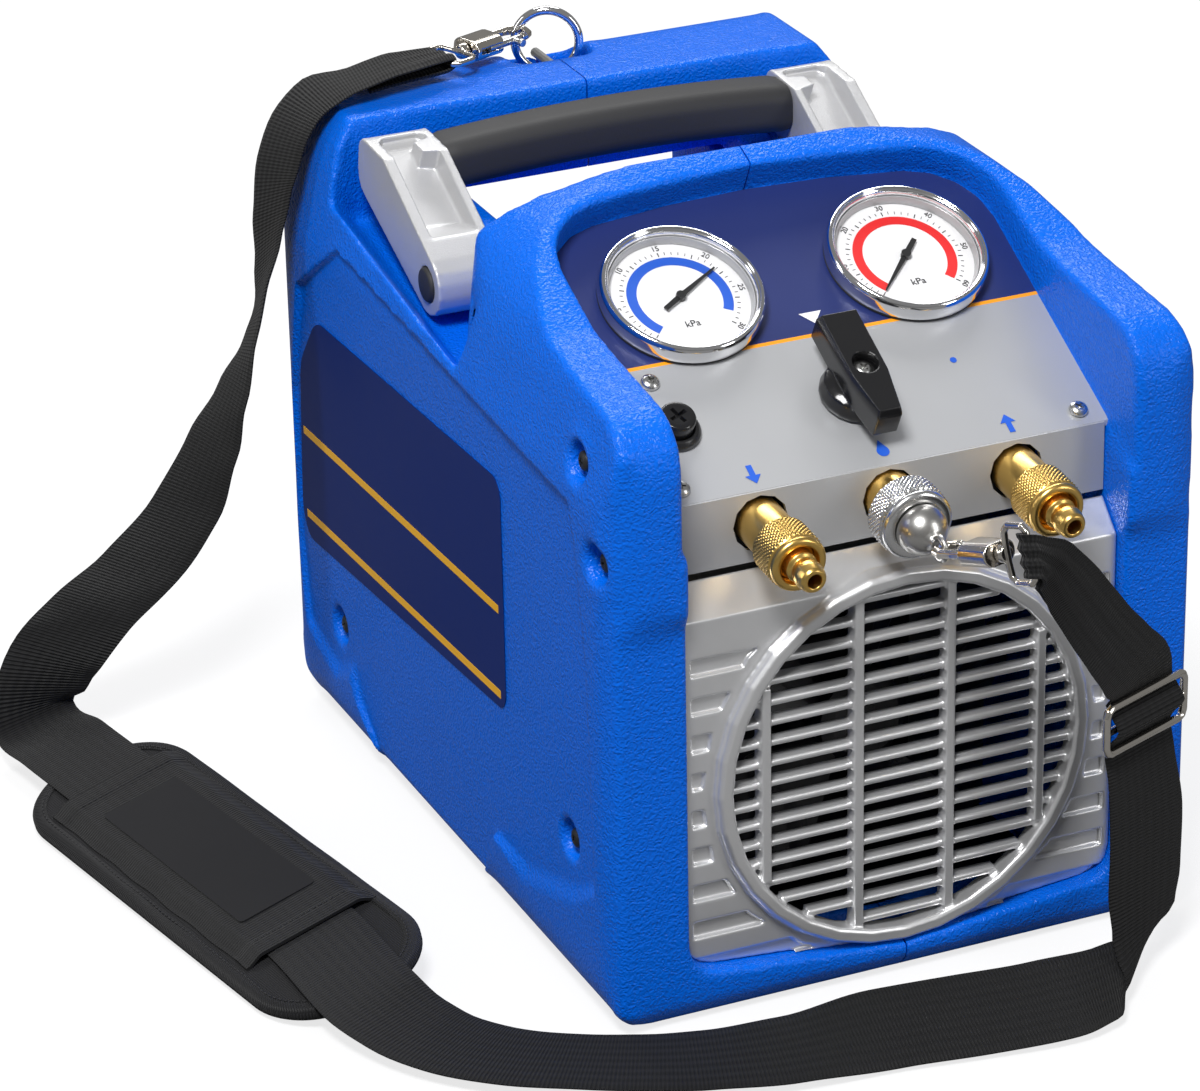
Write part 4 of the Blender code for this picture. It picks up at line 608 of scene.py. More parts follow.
# %% Places
PANEL_ORIGIN = Vector((0, -0.1387, 0.2005))
PANEL_SLOPE = math.radians(28)
PANEL_ALONG = Vector((0, math.cos(PANEL_SLOPE), math.sin(PANEL_SLOPE)))
PANEL_NORMAL = Vector((0, -math.sin(PANEL_SLOPE), math.cos(PANEL_SLOPE)))
PORT_TILT = math.radians(6)
PORT_AXIS = Vector((0, -math.cos(PORT_TILT), -math.sin(PORT_TILT)))
PORT_SPREAD = 0.0515
PORT_HEIGHT = 0.188
GAUGE_SPREAD = 0.046
GAUGE_RISE = 0.0905
GAUGE_BEZEL = 0.0313
KNOB_RISE = 0.033
FUSE_PLACE = (-0.072, 0.033)


def panel_point(x, rise, height=0.0):
    """A place on the sloping panel: across, up the slope, and above its face."""
    return PANEL_ORIGIN + Vector((x, 0, 0)) + PANEL_ALONG * rise + PANEL_NORMAL * height


def port_point(x):
    return Vector((x, PANEL_ORIGIN.y, PORT_HEIGHT))


def standing(mesh, at, toward, spin=0.0):
    """Stands a mesh at a place, with its own Z pointing along a direction."""
    toward = Vector(toward).normalized()
    turn = toward.to_track_quat("Z", "Y").to_matrix().to_4x4()
    if abs(toward.x) < 1e-6:
        across = Vector((1, 0, 0))
        turn = Matrix((across, toward.cross(across), toward)).transposed().to_4x4()
    mesh.transform(Matrix.Translation(at) @ turn @ Matrix.Rotation(spin, 4, "Z"))
    return mesh


print("left gauge stands at", [round(v * 1000, 1) for v in panel_point(-GAUGE_SPREAD, GAUGE_RISE)], "mm")

# %% [markdown]
# ## Turned pieces
# Bezels, ports, caps and screw heads come off a lathe, so they are made like one: a profile of radius
# and height, its corners softened by a fraction of a millimetre, turned round Z. The softened corner
# is what catches the light; a razor edge never does.

# %% Turning helpers
def softened(profile, radius, closed=False, steps=3):
    """Rounds the inner corners of a profile with short curves."""
    points = [Vector(point) for point in profile]
    count = len(points)
    result = []
    for index, here in enumerate(points):
        if not closed and index in (0, count - 1):
            result.append(here)
            continue
        before, after = points[index - 1], points[(index + 1) % count]
        reach = min(radius, (here - before).length * 0.45, (after - here).length * 0.45)
        start = here + (before - here).normalized() * reach
        end = here + (after - here).normalized() * reach
        for step in range(steps + 1):
            share = step / steps
            result.append(start * (1 - share) ** 2 + here * 2 * share * (1 - share) + end * share ** 2)
    return result


def lathe(profile, steps=64, closed=False, shape=None):
    """A mesh turned round Z. shape, if given, changes the radius by angle, height and radius."""
    bm = bmesh.new()
    rings = []
    for radius, height in profile:
        if radius < 1e-6:
            rings.append([bm.verts.new((0, 0, height))])
            continue
        ring = []
        for step in range(steps):
            angle = 2 * math.pi * step / steps
            reach = shape(angle, height, radius) if shape else radius
            ring.append(bm.verts.new((reach * math.cos(angle), reach * math.sin(angle), height)))
        rings.append(ring)
    pairs = list(zip(rings, rings[1:]))
    if closed:
        pairs.append((rings[-1], rings[0]))
    for lower, upper in pairs:
        for step in range(steps):
            after = (step + 1) % steps
            corners = [lower[step % len(lower)], lower[after % len(lower)],
                       upper[after % len(upper)], upper[step % len(upper)]]
            corners = list(dict.fromkeys(corners))
            if len(corners) > 2:
                bm.faces.new(corners)
    bmesh.ops.recalc_face_normals(bm, faces=bm.faces)
    mesh = bpy.data.meshes.new("turned")
    bm.to_mesh(mesh)
    bm.free()
    mesh.shade_smooth()
    mesh.set_sharp_from_angle(angle=math.radians(50))
    return mesh


def merged(meshes):
    """Several meshes as one, their faces untouched."""
    bm = bmesh.new()
    for mesh in meshes:
        bm.from_mesh(mesh)
    whole = bpy.data.meshes.new("merged")
    bm.to_mesh(whole)
    bm.free()
    whole.shade_smooth()
    whole.set_sharp_from_angle(angle=math.radians(50))
    return whole


def cut_by(mesh, cutters):
    """The mesh with each cutter taken out of it."""
    obj = bpy.data.objects.new("cut", mesh)
    scene.collection.objects.link(obj)
    tools = []
    for cutter in cutters:
        tool = bpy.data.objects.new("cutter", cutter)
        scene.collection.objects.link(tool)
        modifier = obj.modifiers.new("cut", "BOOLEAN")
        modifier.operation = "DIFFERENCE"
        modifier.object = tool
        tools.append(tool)
    result = baked(obj)
    for tool in tools:
        bpy.data.objects.remove(tool, do_unlink=True)
    result.shade_smooth()
    result.set_sharp_from_angle(angle=math.radians(40))
    return result


def bar_mesh(size, centre=(0, 0, 0), taper=1.0):
    """A bar with a smaller end, for slots and studs."""
    bm = bmesh.new()
    bmesh.ops.create_cube(bm, size=1)
    for vert in bm.verts:
        narrow = taper if vert.co.z < 0 else 1.0
        vert.co = Vector((vert.co.x * size[0] * narrow + centre[0], vert.co.y * size[1] * narrow + centre[1],
                          vert.co.z * size[2] + centre[2]))
    mesh = bpy.data.meshes.new("bar")
    bm.to_mesh(mesh)
    bm.free()
    return mesh


def cross_slots(length, width, top, depth):
    """Two crossing slots that narrow downwards."""
    first = bar_mesh((length, width, depth * 2), (0, 0, top), 0.6)
    second = bar_mesh((width, length, depth * 2), (0, 0, top), 0.6)
    return [first, second]


def settle_piece(name, mesh, finish, body, replaced=()):
    """Links a piece, puts it on its body, and hides the solids it replaces."""
    piece = mesh_piece(name, mesh, finish)
    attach(piece, body)
    if replaced:
        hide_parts(*replaced)
    return piece


print("turning helpers are ready")

# %% [markdown]
# ## Fan guard
# The guard is one zinc or plastic moulding in satin silver: a grooved plate, a raised half-round ring
# and seventeen rounded ribs on four uprights. Every edge of it is soft, and its corners fill in a
# little where ribs meet uprights, exactly what a voxel remesh with a few smoothing rounds gives.

# %% Fan guard
def guard_mesh():
    skin = remeshed(node_mesh("fan_guard"), 0.00050)
    relax(skin, 3)
    skin = thinned(skin, 0.45)
    skin.shade_smooth()
    return skin


guard_piece = settle_piece("louvred_guard", guard_mesh(), silver_paint, "machine", ["fan_guard"])
print("guard:", len(guard_piece.data.polygons), "faces")

# %% [markdown]
# ## Control panel
# A bent sheet about two millimetres thick. Sheet metal has clean flat faces and small, regular edge
# radii, so here the Bevel modifier is the right tool, on a copy of the solid whose flat faces have
# been joined again. The print on it is one mask: below an orange line the paint is satin grey, above
# it navy. The mask measures how far a point lies up the slope, in object coordinates.

# %% Panel finish
LINE_RISE = 0.0639
LINE_HALF = 0.0008


def panel_finish():
    grey, navy, orange = (0.455, 0.462, 0.475), (0.013, 0.024, 0.125), (0.90, 0.34, 0.010)
    made, tree, shader = start_material("panel_print", grey, 0.40, 0.35)
    where = add_node(tree, "ShaderNodeTexCoord").outputs["Object"]
    shifted = add_node(tree, "ShaderNodeVectorMath", {0: where, 1: PANEL_ORIGIN}, operation="SUBTRACT")
    rise = add_node(tree, "ShaderNodeVectorMath", {0: shifted.outputs[0], 1: PANEL_ALONG},
                    operation="DOT_PRODUCT").outputs["Value"]
    above = add_node(tree, "ShaderNodeMath", {0: rise, 1: LINE_RISE}, operation="GREATER_THAN").outputs[0]
    on_line = add_node(tree, "ShaderNodeMath", {0: rise, 1: LINE_RISE, 2: LINE_HALF}, operation="COMPARE").outputs[0]
    field = add_node(tree, "ShaderNodeMixRGB", {"Fac": above, "Color1": (*grey, 1), "Color2": (*navy, 1)})
    print_colour = add_node(tree, "ShaderNodeMixRGB", {"Fac": on_line, "Color1": field.outputs[0],
                                                       "Color2": (*orange, 1)})
    tone = place_group(tree, uneven_tone, {"Color": print_colour.outputs[0], "Roughness": 0.40, "Size": 25.0,
                                           "Amount": 0.04})
    painted = add_node(tree, "ShaderNodeMath", {0: above, 1: on_line}, operation="MAXIMUM")
    bare = add_node(tree, "ShaderNodeMath", {0: painted.outputs[0], 1: -0.35, 2: 0.35}, operation="MULTIPLY_ADD")
    tooth = place_group(tree, fine_tooth, {"Grains per metre": 2400.0})
    bump = add_node(tree, "ShaderNodeBump", {"Height": tooth.outputs["Height"], "Strength": 0.25,
                                             "Distance": 0.00008})
    tree.links.new(tone.outputs["Color"], shader.inputs["Base Color"])
    tree.links.new(tone.outputs["Roughness"], shader.inputs["Roughness"])
    tree.links.new(bare.outputs[0], shader.inputs["Metallic"])
    tree.links.new(bump.outputs["Normal"], shader.inputs["Normal"])
    return made


panel_print = panel_finish()

# %% Panel
def flat_faces_kept(mesh):
    """Weights the normals by face area, so that a large flat face shades flat up to its edge."""
    obj = bpy.data.objects.new("weighted", mesh)
    scene.collection.objects.link(obj)
    modifier = obj.modifiers.new("normals", "WEIGHTED_NORMAL")
    modifier.keep_sharp = True
    return baked(obj)


def edge_softened(node, width, segments=3, angle=30):
    """A copy of a node with its flat faces joined and its edges bevelled."""
    mesh = node_mesh(node)
    bm = bmesh.new()
    bm.from_mesh(mesh)
    bmesh.ops.dissolve_limit(bm, angle_limit=math.radians(0.5), verts=bm.verts, edges=bm.edges)
    bm.to_mesh(mesh)
    bm.free()
    obj = bpy.data.objects.new("soft_edges", mesh)
    scene.collection.objects.link(obj)
    bevel = obj.modifiers.new("edges", "BEVEL")
    bevel.width = width
    bevel.segments = segments
    bevel.limit_method = "ANGLE"
    bevel.angle_limit = math.radians(angle)
    result = baked(obj)
    result.shade_smooth()
    result.set_sharp_from_angle(angle=math.radians(32))
    return flat_faces_kept(result)


panel_piece = settle_piece("instrument_panel", edge_softened("control_panel", 0.0005), panel_print, "machine",
                           ["control_panel"])
print("panel:", len(panel_piece.data.polygons), "faces")

# %% [markdown]
# ## Pan-head screws
# Three hold the panel and eight more sit in the pockets of the housing's sides. A low dome with a
# cross recess, cut by two tapered slots, reads as a real screw even a few pixels wide.

# %% Screws
def pan_head(radius, height, shank):
    """A pan head with a cross recess on a plain shank, its seat at height 0."""
    profile = [(0, height), (radius * 0.55, height * 0.98), (radius * 0.92, height * 0.62), (radius, 0.0)]
    profile += [(radius * 0.52, 0.0), (radius * 0.50, -shank), (0, -shank)]
    head = lathe(softened(profile, radius * 0.12), 32)
    return cut_by(head, cross_slots(radius * 1.1, radius * 0.26, height, height * 0.62))


SCREW_FACE = 0.0003
for index, (x, rise) in enumerate(((-0.072, 0.056), (-0.080, 0.0073), (0.080, 0.0073))):
    mesh = standing(pan_head(0.0037, 0.0024, 0.008), panel_point(x, rise, SCREW_FACE), PANEL_NORMAL, 0.3 + index)
    settle_piece(f"panel_fixing_{index + 1}", mesh, plated_steel, "machine", [f"panel_screw_{index + 1}"])

# Housing pockets as (y, z); their floor lies 9 mm in from the side, under a raised boss
POCKETS = ((-0.1252, 0.2190), (-0.1427, 0.1870), (0.1233, 0.0475), (-0.1107, 0.0620))
BOSS_TOP_X = 0.1129
for index, (y, z) in enumerate(POCKETS):
    for side in (-1, 1):
        mesh = standing(pan_head(0.0039, 0.0022, 0.003), (side * BOSS_TOP_X, y, z), (side, 0, 0), 0.4 * index)
        name = f"housing_screw_{'left' if side < 0 else 'right'}_{index + 1}"
        settle_piece(name, mesh, dark_metal, "machine")
print("screws:", 3 + 2 * len(POCKETS))

# %% [markdown]
# ## Gauges
# Each gauge is a pressed case with a black gasket under it, a polished bezel, a pale inner wall, a
# white dial some millimetres down, a needle on its own joint and a clear lens. The bezel's section has
# an outer wall, a rounded crown and a step inside, because those three bright lines are what a
# polished bezel shows. The dial's print is thin flat meshes: a coloured band over three quarters of
# a turn, ticks outside it and plain numbers.

# %% Gauge finishes
dial_white = toothed_finish("dial_white", (0.80, 0.80, 0.81), 0.45, 0.0, 900.0, 0.00002, 0.01, 0.05)
wall_grey = toothed_finish("inner_wall_grey", (0.42, 0.42, 0.43), 0.35, 0.3, 1200.0, 0.00003)
print_blue = toothed_finish("print_blue", (0.010, 0.095, 0.560), 0.45, 0.0, 900.0, 0.00002, 0.02, 0.05)
print_red = toothed_finish("print_red", (0.720, 0.012, 0.014), 0.45, 0.0, 900.0, 0.00002, 0.02, 0.05)
print_black = toothed_finish("print_black", (0.014, 0.014, 0.016), 0.45, 0.0, 900.0, 0.00002, 0.02, 0.05)
print_white = toothed_finish("print_white", (0.80, 0.80, 0.82), 0.45, 0.0, 900.0, 0.00002, 0.02, 0.05)


def lens_finish():
    """Clear plastic: see-through, with reflections that grow towards the edge."""
    made, tree, shader = start_material("clear_lens", (1.0, 1.0, 1.0), 0.03)
    made.diffuse_color = (1, 1, 1, 0.2)
    shader.inputs["Metallic"].default_value = 1.0
    ripple = place_group(tree, fine_tooth, {"Grains per metre": 45.0})
    bump = add_node(tree, "ShaderNodeBump", {"Height": ripple.outputs["Height"], "Strength": 0.05,
                                             "Distance": 0.0002})
    tree.links.new(bump.outputs["Normal"], shader.inputs["Normal"])
    clear = add_node(tree, "ShaderNodeBsdfTransparent", {"Color": (1, 1, 1, 1)})
    edge = add_node(tree, "ShaderNodeFresnel", {"IOR": 1.45})
    behind = add_node(tree, "ShaderNodeNewGeometry").outputs["Backfacing"]
    front = add_node(tree, "ShaderNodeMath", {0: 1.0, 1: behind}, operation="SUBTRACT")
    share = add_node(tree, "ShaderNodeMath", {0: edge.outputs[0], 1: front.outputs[0]}, operation="MULTIPLY")
    both = add_node(tree, "ShaderNodeMixShader", {0: share.outputs[0], 1: clear.outputs[0], 2: shader.outputs[0]})
    tree.links.new(both.outputs[0], tree.nodes["Material Output"].inputs["Surface"])
    return made


clear_lens = lens_finish()

# %% Print helpers
def flat_sector(inner, outer, start, end, low, high, steps=48):
    """A flat band between two radii and two angles in degrees, clockwise from the top."""
    bm = bmesh.new()
    rings = []
    for step in range(steps + 1):
        angle = math.radians(90 - start - (end - start) * step / steps)
        way = Vector((math.cos(angle), math.sin(angle), 0))
        rings.append([bm.verts.new(way * reach + Vector((0, 0, z)))
                      for reach, z in ((inner, low), (outer, low), (outer, high), (inner, high))])
    for before, after in zip(rings, rings[1:]):
        for side in range(4):
            nxt = (side + 1) % 4
            bm.faces.new((before[side], before[nxt], after[nxt], after[side]))
    bm.faces.new(rings[0])
    bm.faces.new(rings[-1])
    bmesh.ops.recalc_face_normals(bm, faces=bm.faces)
    mesh = bpy.data.meshes.new("band")
    bm.to_mesh(mesh)
    bm.free()
    return mesh


def number_mesh(text, size, thick):
    """Plain numbers as a thin mesh in the XY plane, centred on the origin."""
    curve = bpy.data.curves.new("numbers", "FONT")
    curve.body = text
    curve.size = size
    curve.align_x = "CENTER"
    curve.align_y = "CENTER"
    curve.extrude = thick / 2
    obj = bpy.data.objects.new("numbers", curve)
    scene.collection.objects.link(obj)
    return baked(obj)


DIAL_TOP = 0.0017
PRINT_TOP = 0.0019
SWEEP_START = -135
SWEEP = 270


def dial_marks(numbers):
    """Ticks round the dial and numbers outside the band."""
    marks = []
    for index in range(41):
        turn = SWEEP_START + SWEEP * index / 40
        long_tick = index % 5 == 0
        half = 0.45 if long_tick else 0.25
        marks.append(flat_sector(0.0208 if long_tick else 0.0214, 0.0226, turn - half, turn + half,
                                 DIAL_TOP, PRINT_TOP, 2))
    for index, number in enumerate(numbers):
        turn = math.radians(SWEEP_START + SWEEP * index / (len(numbers) - 1))
        mesh = number_mesh(str(number), 0.0032, 0.0002)
        place = Matrix.Translation((0.0246 * math.sin(turn), 0.0246 * math.cos(turn), (DIAL_TOP + PRINT_TOP) / 2))
        mesh.transform(place @ Matrix.Rotation(-turn, 4, "Z"))
        marks.append(mesh)
    mesh = number_mesh("kPa", 0.0042, 0.0002)
    mesh.transform(Matrix.Translation((0, -0.0125, (DIAL_TOP + PRINT_TOP) / 2)))
    marks.append(mesh)
    return merged(marks)


# %% Gauges
def gauge(side_name, side, band_finish, numbers, start, end):
    """One gauge, from its gasket to its lens. The needle is a solid with its own joint."""
    at = panel_point(side * GAUGE_SPREAD, GAUGE_RISE)
    inner = GAUGE_BEZEL - 0.0036
    bezel = [(inner, 0.0066), (inner + 0.0004, 0.0076), (inner + 0.0010, 0.0079), (inner + 0.0014, 0.0086),
             (GAUGE_BEZEL - 0.0011, 0.0083), (GAUGE_BEZEL - 0.0002, 0.0068), (GAUGE_BEZEL, 0.0030),
             (GAUGE_BEZEL - 0.0004, 0.0012), (inner + 0.0016, 0.0012), (inner, 0.0022)]
    mesh = lathe(softened(bezel, 0.0005, closed=True), 128, closed=True)
    settle_piece(f"gauge_{side_name}_bezel", standing(mesh, at, PANEL_NORMAL), bright_chrome, "machine",
                 [f"gauge_{side_name}_case"])
    body = [(0, -0.0238), (0.0250, -0.0238), (0.0254, -0.0232), (0.0254, 0.0003), (GAUGE_BEZEL - 0.0006, 0.0003),
            (GAUGE_BEZEL - 0.0003, 0.0007), (GAUGE_BEZEL - 0.0006, 0.0011), (inner + 0.0010, 0.0011),
            (inner - 0.0010, 0.0006), (0.0222, 0.0006), (0.0222, -0.0208), (0, -0.0208)]
    mesh = lathe(softened(body, 0.0003), 64)
    settle_piece(f"gauge_{side_name}_gasket", standing(mesh, at, PANEL_NORMAL), black_rubber, "machine")
    wall = [(inner - 0.0002, 0.0019), (inner - 0.0001, 0.0053), (inner - 0.0007, 0.0053), (inner - 0.0013, 0.0019)]
    mesh = lathe(softened(wall, 0.0002, closed=True), 96, closed=True)
    settle_piece(f"gauge_{side_name}_wall", standing(mesh, at, PANEL_NORMAL), wall_grey, "machine")
    dial = [(0.0014, 0.0009), (inner - 0.0004, 0.0009), (inner - 0.0004, DIAL_TOP), (0.0014, DIAL_TOP)]
    mesh = lathe(softened(dial, 0.0001, closed=True), 96, closed=True)
    settle_piece(f"gauge_{side_name}_face", standing(mesh, at, PANEL_NORMAL), dial_white, "machine",
                 [f"gauge_{side_name}_dial"])
    band = flat_sector(0.0162, 0.0200, start, end, DIAL_TOP, PRINT_TOP, 90)
    settle_piece(f"gauge_{side_name}_band", standing(band, at, PANEL_NORMAL), band_finish, "machine")
    marks = standing(dial_marks(numbers), at, PANEL_NORMAL)
    settle_piece(f"gauge_{side_name}_marks", marks, print_black, "machine")
    lens = [(0, 0.0068), (0.012, 0.00665), (0.022, 0.0061), (inner - 0.0004, 0.0057), (inner - 0.0004, 0.0052),
            (0.022, 0.0055), (0.012, 0.0060), (0, 0.0062)]
    settle_piece(f"gauge_{side_name}_glass", standing(lathe(lens, 96), at, PANEL_NORMAL), clear_lens, "machine",
                 [f"gauge_{side_name}_lens"])


gauge("left", -1, print_blue, (0, 5, 10, 15, 20, 25, 30), -135, 120)
gauge("right", 1, print_red, (0, 10, 20, 30, 40, 50, 60), -135, 135)
print("gauges: bezel", GAUGE_BEZEL * 2000, "mm across")

# %% [markdown]
# ## Knob and fuse
# The selector is a glossy black bar with chamfered shoulders on a stepped skirt. Its solid already
# has that form with hard edges; a fine remesh and a few smoothing rounds turn them into moulded
# ones. The fuse holder is turned, with a cross slot for a screwdriver in its cap.

# %% Knob and fuse
glossy_black = toothed_finish("glossy_black", (0.010, 0.010, 0.011), 0.20, 0.0, 1600.0, 0.00005, 0.03, 0.15)


def knob_mesh():
    skin = remeshed(node_mesh("selector_knob"), 0.00032)
    relax(skin, 4)
    relax(skin, 30, slow_turn(skin, 12))
    skin = thinned(skin, 0.5)
    skin.shade_smooth()
    return skin


settle_piece("bar_knob", knob_mesh(), glossy_black, "knob", ["selector_knob"])
screw_seat = panel_point(0, KNOB_RISE, 0.0143)
mesh = standing(pan_head(0.0040, 0.0026, 0.0056), screw_seat, PANEL_NORMAL, 0.5)
settle_piece("knob_fixing", mesh, plated_steel, "knob", ["knob_screw"])

fuse_at = panel_point(*FUSE_PLACE)
holder = [(0, -0.028), (0.0058, -0.028), (0.0058, 0.0003), (0.0098, 0.0003), (0.0098, 0.0022), (0.0084, 0.0040),
          (0.0072, 0.0040), (0.0072, 0.0012), (0.0040, 0.0012), (0.0040, -0.018), (0, -0.018)]
mesh = standing(lathe(softened(holder, 0.0005), 64), fuse_at, PANEL_NORMAL)
settle_piece("fuse_socket", mesh, black_plastic, "machine", ["fuse_holder"])
cap = [(0, -0.012), (0.0036, -0.012), (0.0036, 0.0015), (0.0068, 0.0015), (0.0068, 0.0085), (0.0062, 0.0094),
       (0.0048, 0.0096), (0, 0.0092)]
mesh = cut_by(lathe(softened(cap, 0.0005), 64), cross_slots(0.0092, 0.0020, 0.0096, 0.0020))
settle_piece("fuse_turn_cap", standing(mesh, fuse_at, PANEL_NORMAL, 0.4), glossy_black, "fuse",
             ["fuse_cap"])
print("knob and fuse are in place")

# %% [markdown]
# ## Service ports
# Two golden brass ports screw out of dark-rimmed holes: a plain cylinder, a knurled collar that turns,
# a rounded lip and a grooved flare nipple with a dark bore. Diamond knurling is two sets of grooves
# wound round in opposite ways. On a fine enough turned mesh it is a formula: the radius drops where
# either of two slanting saw waves is near its foot.

# %% Knurling
def diamond(teeth, slant, depth, low, high):
    """A shape for lathe(): a diamond knurl between two heights."""
    def shape(angle, height, radius):
        if not low < height < high:
            return radius
        first = abs(((angle * teeth / (2 * math.pi) + height * slant) % 1) * 2 - 1)
        second = abs(((angle * teeth / (2 * math.pi) - height * slant) % 1) * 2 - 1)
        return radius - depth * (1 - min(first, second) * 1.6 if min(first, second) < 0.62 else 0)
    return shape


def levels(low, high, count):
    """Evenly spaced heights."""
    return [low + (high - low) * step / (count - 1) for step in range(count)]


# %% Ports
def flare_port(name, side):
    """Body, nipple and turning collar of one hose port."""
    at = port_point(side * PORT_SPREAD)
    nipple = [(0.0028, 0.0440), (0.0042, 0.0440), (0.0050, 0.0428), (0.0056, 0.0400), (0.0056, 0.0375),
              (0.0046, 0.0365), (0.0046, 0.0345), (0.0060, 0.0335), (0.0060, 0.0290), (0.0072, 0.0280),
              (0.0072, 0.0152), (0.0092, 0.0150), (0.0092, -0.0100), (0.0070, -0.0110), (0.0070, -0.0240),
              (0, -0.0240)]
    body = lathe(softened([(0, 0.0300), (0.0028, 0.0300)] + nipple, 0.0004), 72)
    settle_piece(f"{name}_fitting", standing(body, at, PORT_AXIS), golden_brass, "machine",
                 [f"{name}_port"])
    plug = lathe(softened([(0, 0.0330), (0.0026, 0.0330), (0.0026, 0.0302), (0, 0.0302)], 0.0003), 24)
    settle_piece(f"{name}_core", standing(plug, at, PORT_AXIS), dark_metal, "machine")
    inner, outer = 0.0075, 0.0112
    collar = [(inner, 0.0157), (outer - 0.0008, 0.0157), (outer - 0.0002, 0.0161)]
    collar += [(outer, height) for height in levels(0.0164, 0.0280, 48)]
    collar += [(outer - 0.0004, 0.0284), (0.0101, 0.0286), (0.0101, 0.0291), (0.0107, 0.0296), (0.0107, 0.0308),
               (0.0102, 0.0318), (0.0094, 0.0322), (0.0080, 0.0322), (inner, 0.0318)]
    mesh = lathe(collar, 240, closed=True, shape=diamond(40, 560, 0.0006, 0.0163, 0.0281))
    mesh.set_sharp_from_angle(angle=math.radians(80))
    settle_piece(f"{name}_collar_ring", standing(mesh, at, PORT_AXIS), golden_brass, f"{name}_collar",
                 [f"{name}_sleeve"])


flare_port("inlet", -1)
flare_port("outlet", 1)


def purge_valve():
    """Brass body, knurled chrome nut, and a brushed dome with an eyelet."""
    at = port_point(0)
    body = [(0, -0.0240), (0.0070, -0.0240), (0.0070, -0.0110), (0.0098, -0.0100), (0.0098, 0.0080),
            (0.0077, 0.0085), (0.0077, 0.0178), (0, 0.0178)]
    settle_piece("purge_fitting", standing(lathe(softened(body, 0.0005), 64), at, PORT_AXIS), golden_brass,
                 "machine", ["purge_port"])
    nut = [(0.0081, 0.0095), (0.0132, 0.0095), (0.0139, 0.0100)]
    nut += [(0.0142, height) for height in levels(0.0103, 0.0186, 40)]
    nut += [(0.0139, 0.0190), (0.0129, 0.0192), (0.0129, 0.0197), (0.0136, 0.0202), (0.0137, 0.0218),
            (0.0130, 0.0229), (0.0118, 0.0232), (0.0064, 0.0230), (0.0060, 0.0226), (0.0060, 0.0192),
            (0.0081, 0.0190)]
    mesh = lathe(nut, 288, closed=True, shape=diamond(44, 520, 0.0008, 0.0102, 0.0187))
    mesh.set_sharp_from_angle(angle=math.radians(80))
    settle_piece("purge_knurled_nut", standing(mesh, at, PORT_AXIS), satin_chrome, "purge_collar",
                 ["purge_nut"])
    dome = [(0, 0.0184), (0.0056, 0.0184), (0.0056, 0.0236), (0.0094, 0.0236), (0.0096, 0.0240)]
    dome += [(0.0096 * math.cos(math.radians(a)), 0.0250 + 0.0096 * math.sin(math.radians(a)))
             for a in range(0, 70, 6)]
    dome += [(0.0028, 0.0347), (0.0021, 0.0356), (0.0020, 0.0365), (0, 0.0366)]
    eyelet = [(0.0042 + 0.0012 * math.cos(math.radians(a)), 0.0012 * math.sin(math.radians(a)))
              for a in range(0, 360, 30)]
    eye = standing(lathe(eyelet, 48, closed=True), (0, 0, 0.0395), (1, 0, 0))
    mesh = merged([lathe(softened(dome, 0.0002), 72), eye])
    settle_piece("purge_dome", standing(mesh, at, PORT_AXIS), brushed_steel, "machine", ["purge_cap"])


purge_valve()
print("ports:", PORT_SPREAD * 1000, "mm either side of the middle")

# %% [markdown]
# ## Handle
# The two arms are castings: silver-white, with soft draft edges and a fine blasted skin. Their solids
# are rounded by the same remesh as the guard. The grip is a moulded bar that rises a little towards
# its middle, so it is lofted again here with many more points round it and along it.

# %% Handle arms
def arm_mesh(side_name):
    skin = remeshed(node_mesh(f"handle_arm_{side_name}"), 0.00050)
    relax(skin, 5)
    relax(skin, 30, slow_turn(skin, 12))
    skin = thinned(skin, 0.5)
    skin.shade_smooth()
    return skin


HANDLE_PIVOT = (0.0513, 0.2200)
for side_name, side in (("left", -1), ("right", 1)):
    settle_piece(f"cast_arm_{side_name}", arm_mesh(side_name), cast_aluminium, "machine",
                 [f"handle_arm_{side_name}"])
    cap = [(0, -0.0335), (0.0039, -0.0335), (0.0039, -0.0047), (0.0069, -0.0047), (0.0069, 0.0004),
           (0.0062, 0.0012), (0.0040, 0.0014), (0, 0.0015)]
    mesh = standing(lathe(softened(cap, 0.0004), 48), (side * 0.1015, *HANDLE_PIVOT), (side, 0, 0))
    settle_piece(f"arm_cover_{side_name}", mesh, black_rubber, "machine",
                 [f"handle_plug_{side_name}"])

# %% Grip
GRIP_CENTRE = (0.1048, 0.2475)
GRIP_HALF = 0.0745
GRIP_RISE = 0.0034


